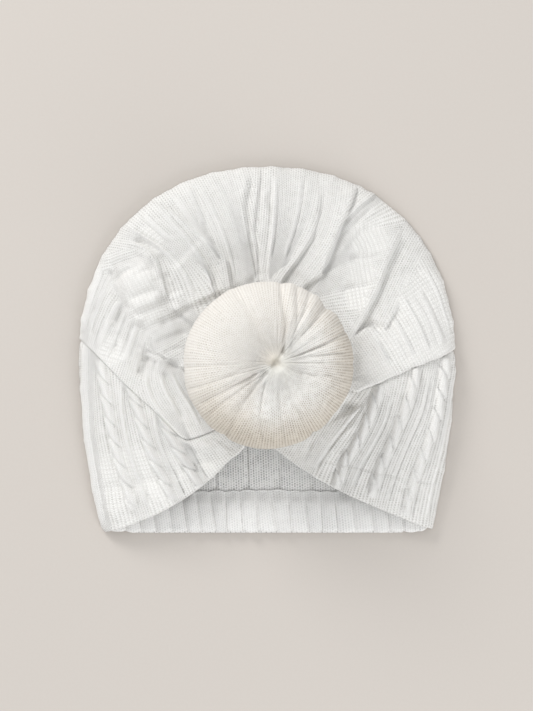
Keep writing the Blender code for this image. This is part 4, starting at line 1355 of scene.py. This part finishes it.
def knit_material(name, knit, ladder=False, bun_zones=False):
    """A knit with painted shade between stitches and in holes, rungs where stretched, and on the bun its
    colour zones with painted light and shade.
    """
    n = Nodes(name)
    wale, course, yarn, shade, hole_shade = knit
    across, along = n.uv("knit")
    ladder_share, hole_share = n.uv("looks")
    wobble = (n.noise(260, 1.0) - 0.5) * 0.7
    # V stitches: in each wale two legs rise from the middle to the sides
    aside = abs((across / wale).fraction() - 0.5) * 2.0
    rows = along / course + wobble
    leg = (rows - aside * 0.75).wave()
    crease = 1.0 - aside.ramp(0.0, 0.3)
    stitch = leg * (1.0 - aside.ramp(0.7, 1.0) * 0.7 - crease * 0.3)
    # pits between the wales, each half a course from its neighbours
    border = across / wale + 0.5
    stagger = n.math("PINGPONG", n.math("FLOOR", border), 1.0) * 0.5
    pit = 1.0 - n.length(border.fraction() - 0.5, (rows + stagger).fraction() - 0.5).ramp(0.2, 0.44)
    holes = pit * hole_share * (n.noise(420, 1.0).ramp(0.25, 0.7) * 0.6 + 0.4)
    height = stitch * 0.7 - holes * 0.9
    if ladder:
        # rungs across the wales
        bar = (along / RUNG_PITCH + wobble * 0.35).wave()
        side = abs((across / LADDER_WALE).fraction() - 0.5)
        gap = ((1.0 - bar.ramp(0.3, 0.85)) * 0.75).larger((1.0 - side.ramp(0.0, 0.14)) * 0.5)
        height = (0.75 - gap - height) * (ladder_share * 0.8) + height
        holes = (holes * (1.0 - ladder_share * 0.7)).larger(gap * ladder_share * 0.6)
    height = n.noise(3800, 3.0, 0.65) * 0.22 + height
    # painted shade between the stitches, and then in the holes
    colour = n.mix(stitch.ramp(0.0, 0.75), shade, yarn)
    colour = n.mix(holes * 0.88, colour, hole_shade)
    patch_colour = tuple(part * tint for part, tint in zip(yarn, PATCH_TINT))
    colour = n.mix(n.noise(45).ramp(0.3, 0.7) * 0.35, colour, patch_colour)
    colour = n.mix(n.noise(1300, 2.0, 0.6).ramp(0.42, 0.66) * 0.4, colour, shade)
    if bun_zones:
        height, colour = bun_looks(n, height, colour, stitch, holes, hole_shade)
    bump = n.add("Bump")
    n.fill(bump, {"Strength": BUMP_STRENGTH, "Distance": BUMP_DISTANCE, "Height": height})
    n.fill(n.shader, {"Base Color": colour, "Normal": bump.outputs[0], **CLOTH_SHADER})
    return n.material


def bun_looks(n, height, colour, stitch, holes, hole_shade):
    """The bun's height and colour: its eye and rim with painted shade, and its white side with painted
    light.
    """
    x, y, _ = n.parts(n.place)
    dx = x - (CENTRE[0] + BUN_EYE[0]) * MM
    dy = y - (CENTRE[1] + BUN_EYE[1]) * MM
    far = n.length(dx, dy)
    # the stitches are drawn in towards the eye and flatten, and the hollow round it has painted shade
    drawn_in_and_shade = 1.0 - far.ramp(0.002, 0.011)
    height = height * (1.0 - drawn_in_and_shade)
    colour = n.mix(drawn_in_and_shade * 0.7, colour, BUN_EYE_HOLLOW_SHADE)
    # white to the right of the eye and below it, most of all straight below: whiter there, and painted
    # brighter as painted light where the bun turns from the key lamp
    forward = dx * math.cos(BUN_WHITE_AIM) + dy * math.sin(BUN_WHITE_AIM)
    ragged = n.noise(160) * 0.016 + far
    fan = forward.ramp(-0.0025, 0.0025) * (1.0 - ragged.ramp(0.022, 0.04))
    down = dy * -1.0
    strip = 1.0 - abs(dy * -0.12 + dx).ramp(0.003, 0.011)
    strip = strip * (down.ramp(0.0, 0.002) * (1.0 - down.ramp(0.02, 0.034)))
    white = (fan * 0.85).larger(strip) * 0.95
    lit = n.mix(stitch.ramp(0.0, 0.6), BUN_WHITE_SHADE, BUN_WHITE_LIT_YARN)
    lit = n.mix(holes * 0.42, lit, hole_shade)
    lit = n.mix(drawn_in_and_shade, lit, BUN_WHITE_HOLLOW_SHADE)
    colour = n.mix(white, colour, lit)
    # painted shade deep in the eye
    colour = n.mix((1.0 - far.ramp(0.0002, 0.0024)) * 0.35, colour, BUN_EYE_SHADE)
    # painted shade, warmer and darker, where the rim turns down, below and to the right
    rim = far.ramp(0.02, 0.037) * (dx * 0.5 - dy * 0.87).ramp(-0.02, 0.015)
    return height, n.mix(rim * 0.8, colour, BUN_RIM_SHADE, "MULTIPLY")


def floor_material():
    n = Nodes("pale_floor")
    colour = n.mix(n.noise(900), *FLOOR_COLOURS)
    n.fill(n.shader, {"Base Color": colour, "Roughness": 0.9, "Specular IOR Level": 0.2})
    return n.material


# Floor, lamps and camera

FLOOR_HALF, FLOOR_DROP = 3, 0.0003
LAMPS = (
    # name, power, size, place, colour
    ("key", 11.5, 0.6, (-0.72, 1.0, 0.74), (1, 0.998, 0.995)),
    ("fill", 9.2, 1.0, (0.62, -1.08, 0.8), (0.992, 0.996, 1)),
)
AIM_HEIGHT = 0.01  # the lamps and the camera are set for this height above the floor
WORLD_COLOUR, WORLD_STRENGTH = (0.988, 0.993, 1, 1), 0.76
IMAGE_HEIGHT, IMAGE_MIDDLE = 711, (266.5, 355.5)  # in pixels
CAMERA_DISTANCE, SENSOR = 2.4, 36


def area_lamp(name, power, size, place, colour):
    light = bpy.data.lights.new(name, "AREA")
    light.energy = power
    light.size = size
    light.color = colour
    lamp = add_object(name, light)
    lamp.location = place
    lamp.rotation_euler = (Vector(place) - Vector((0, 0, AIM_HEIGHT))).to_track_quat("Z", "Y").to_euler()


def studio():
    """The floor, the lamps and the camera."""
    corners = [(x * FLOOR_HALF, y * FLOOR_HALF, 0) for x, y in ((-1, -1), (1, -1), (1, 1), (-1, 1))]
    floor_mesh = bpy.data.meshes.new("floor")
    floor_mesh.from_pydata(corners, [], [(0, 1, 2, 3)])
    floor_mesh.materials.append(floor_material())
    floor = add_object("floor", floor_mesh)
    floor.location.z = -FLOOR_DROP
    for lamp in LAMPS:
        area_lamp(*lamp)
    world = bpy.data.worlds.new("studio")
    world.use_nodes = True
    background = world.node_tree.nodes["Background"]
    background.inputs["Color"].default_value = WORLD_COLOUR
    background.inputs["Strength"].default_value = WORLD_STRENGTH
    bpy.context.scene.world = world
    bpy.context.scene.view_settings.view_transform = "Standard"
    camera_data = bpy.data.cameras.new("camera")
    camera_data.sensor_width = SENSOR
    camera_data.lens = SENSOR * CAMERA_DISTANCE / (IMAGE_HEIGHT * PIXEL * MM)
    camera_data.clip_start, camera_data.clip_end = 0.1, 20
    camera = add_object("camera", camera_data)
    camera.location = (*(at([IMAGE_MIDDLE])[0] * MM), CAMERA_DISTANCE + AIM_HEIGHT)
    bpy.context.scene.camera = camera


def main():
    white = knit_material("white_cable_knit", WHITE_KNIT, ladder=True)
    inner = knit_material("white_inner_lit_knit", LIT_INNER_KNIT)
    cream = knit_material("cream_fine_knit", CREAM_KNIT, bun_zones=True)
    front = crown(white)
    left = wrap("left_wrap", white)
    right = wrap("right_wrap", white)
    # the back and its hem take the inner knit, painted brighter as painted light
    back = back_panel(inner)
    hem = back_hem(inner)
    knot = bun(cream)
    for piece, node in (
        (front, "crown"),
        (left, "left_wrap"),
        (right, "right_wrap"),
        (back, "back_panel"),
        (hem, "back_hem"),
        (knot, "bun"),
    ):
        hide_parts(node)
    studio()


main()
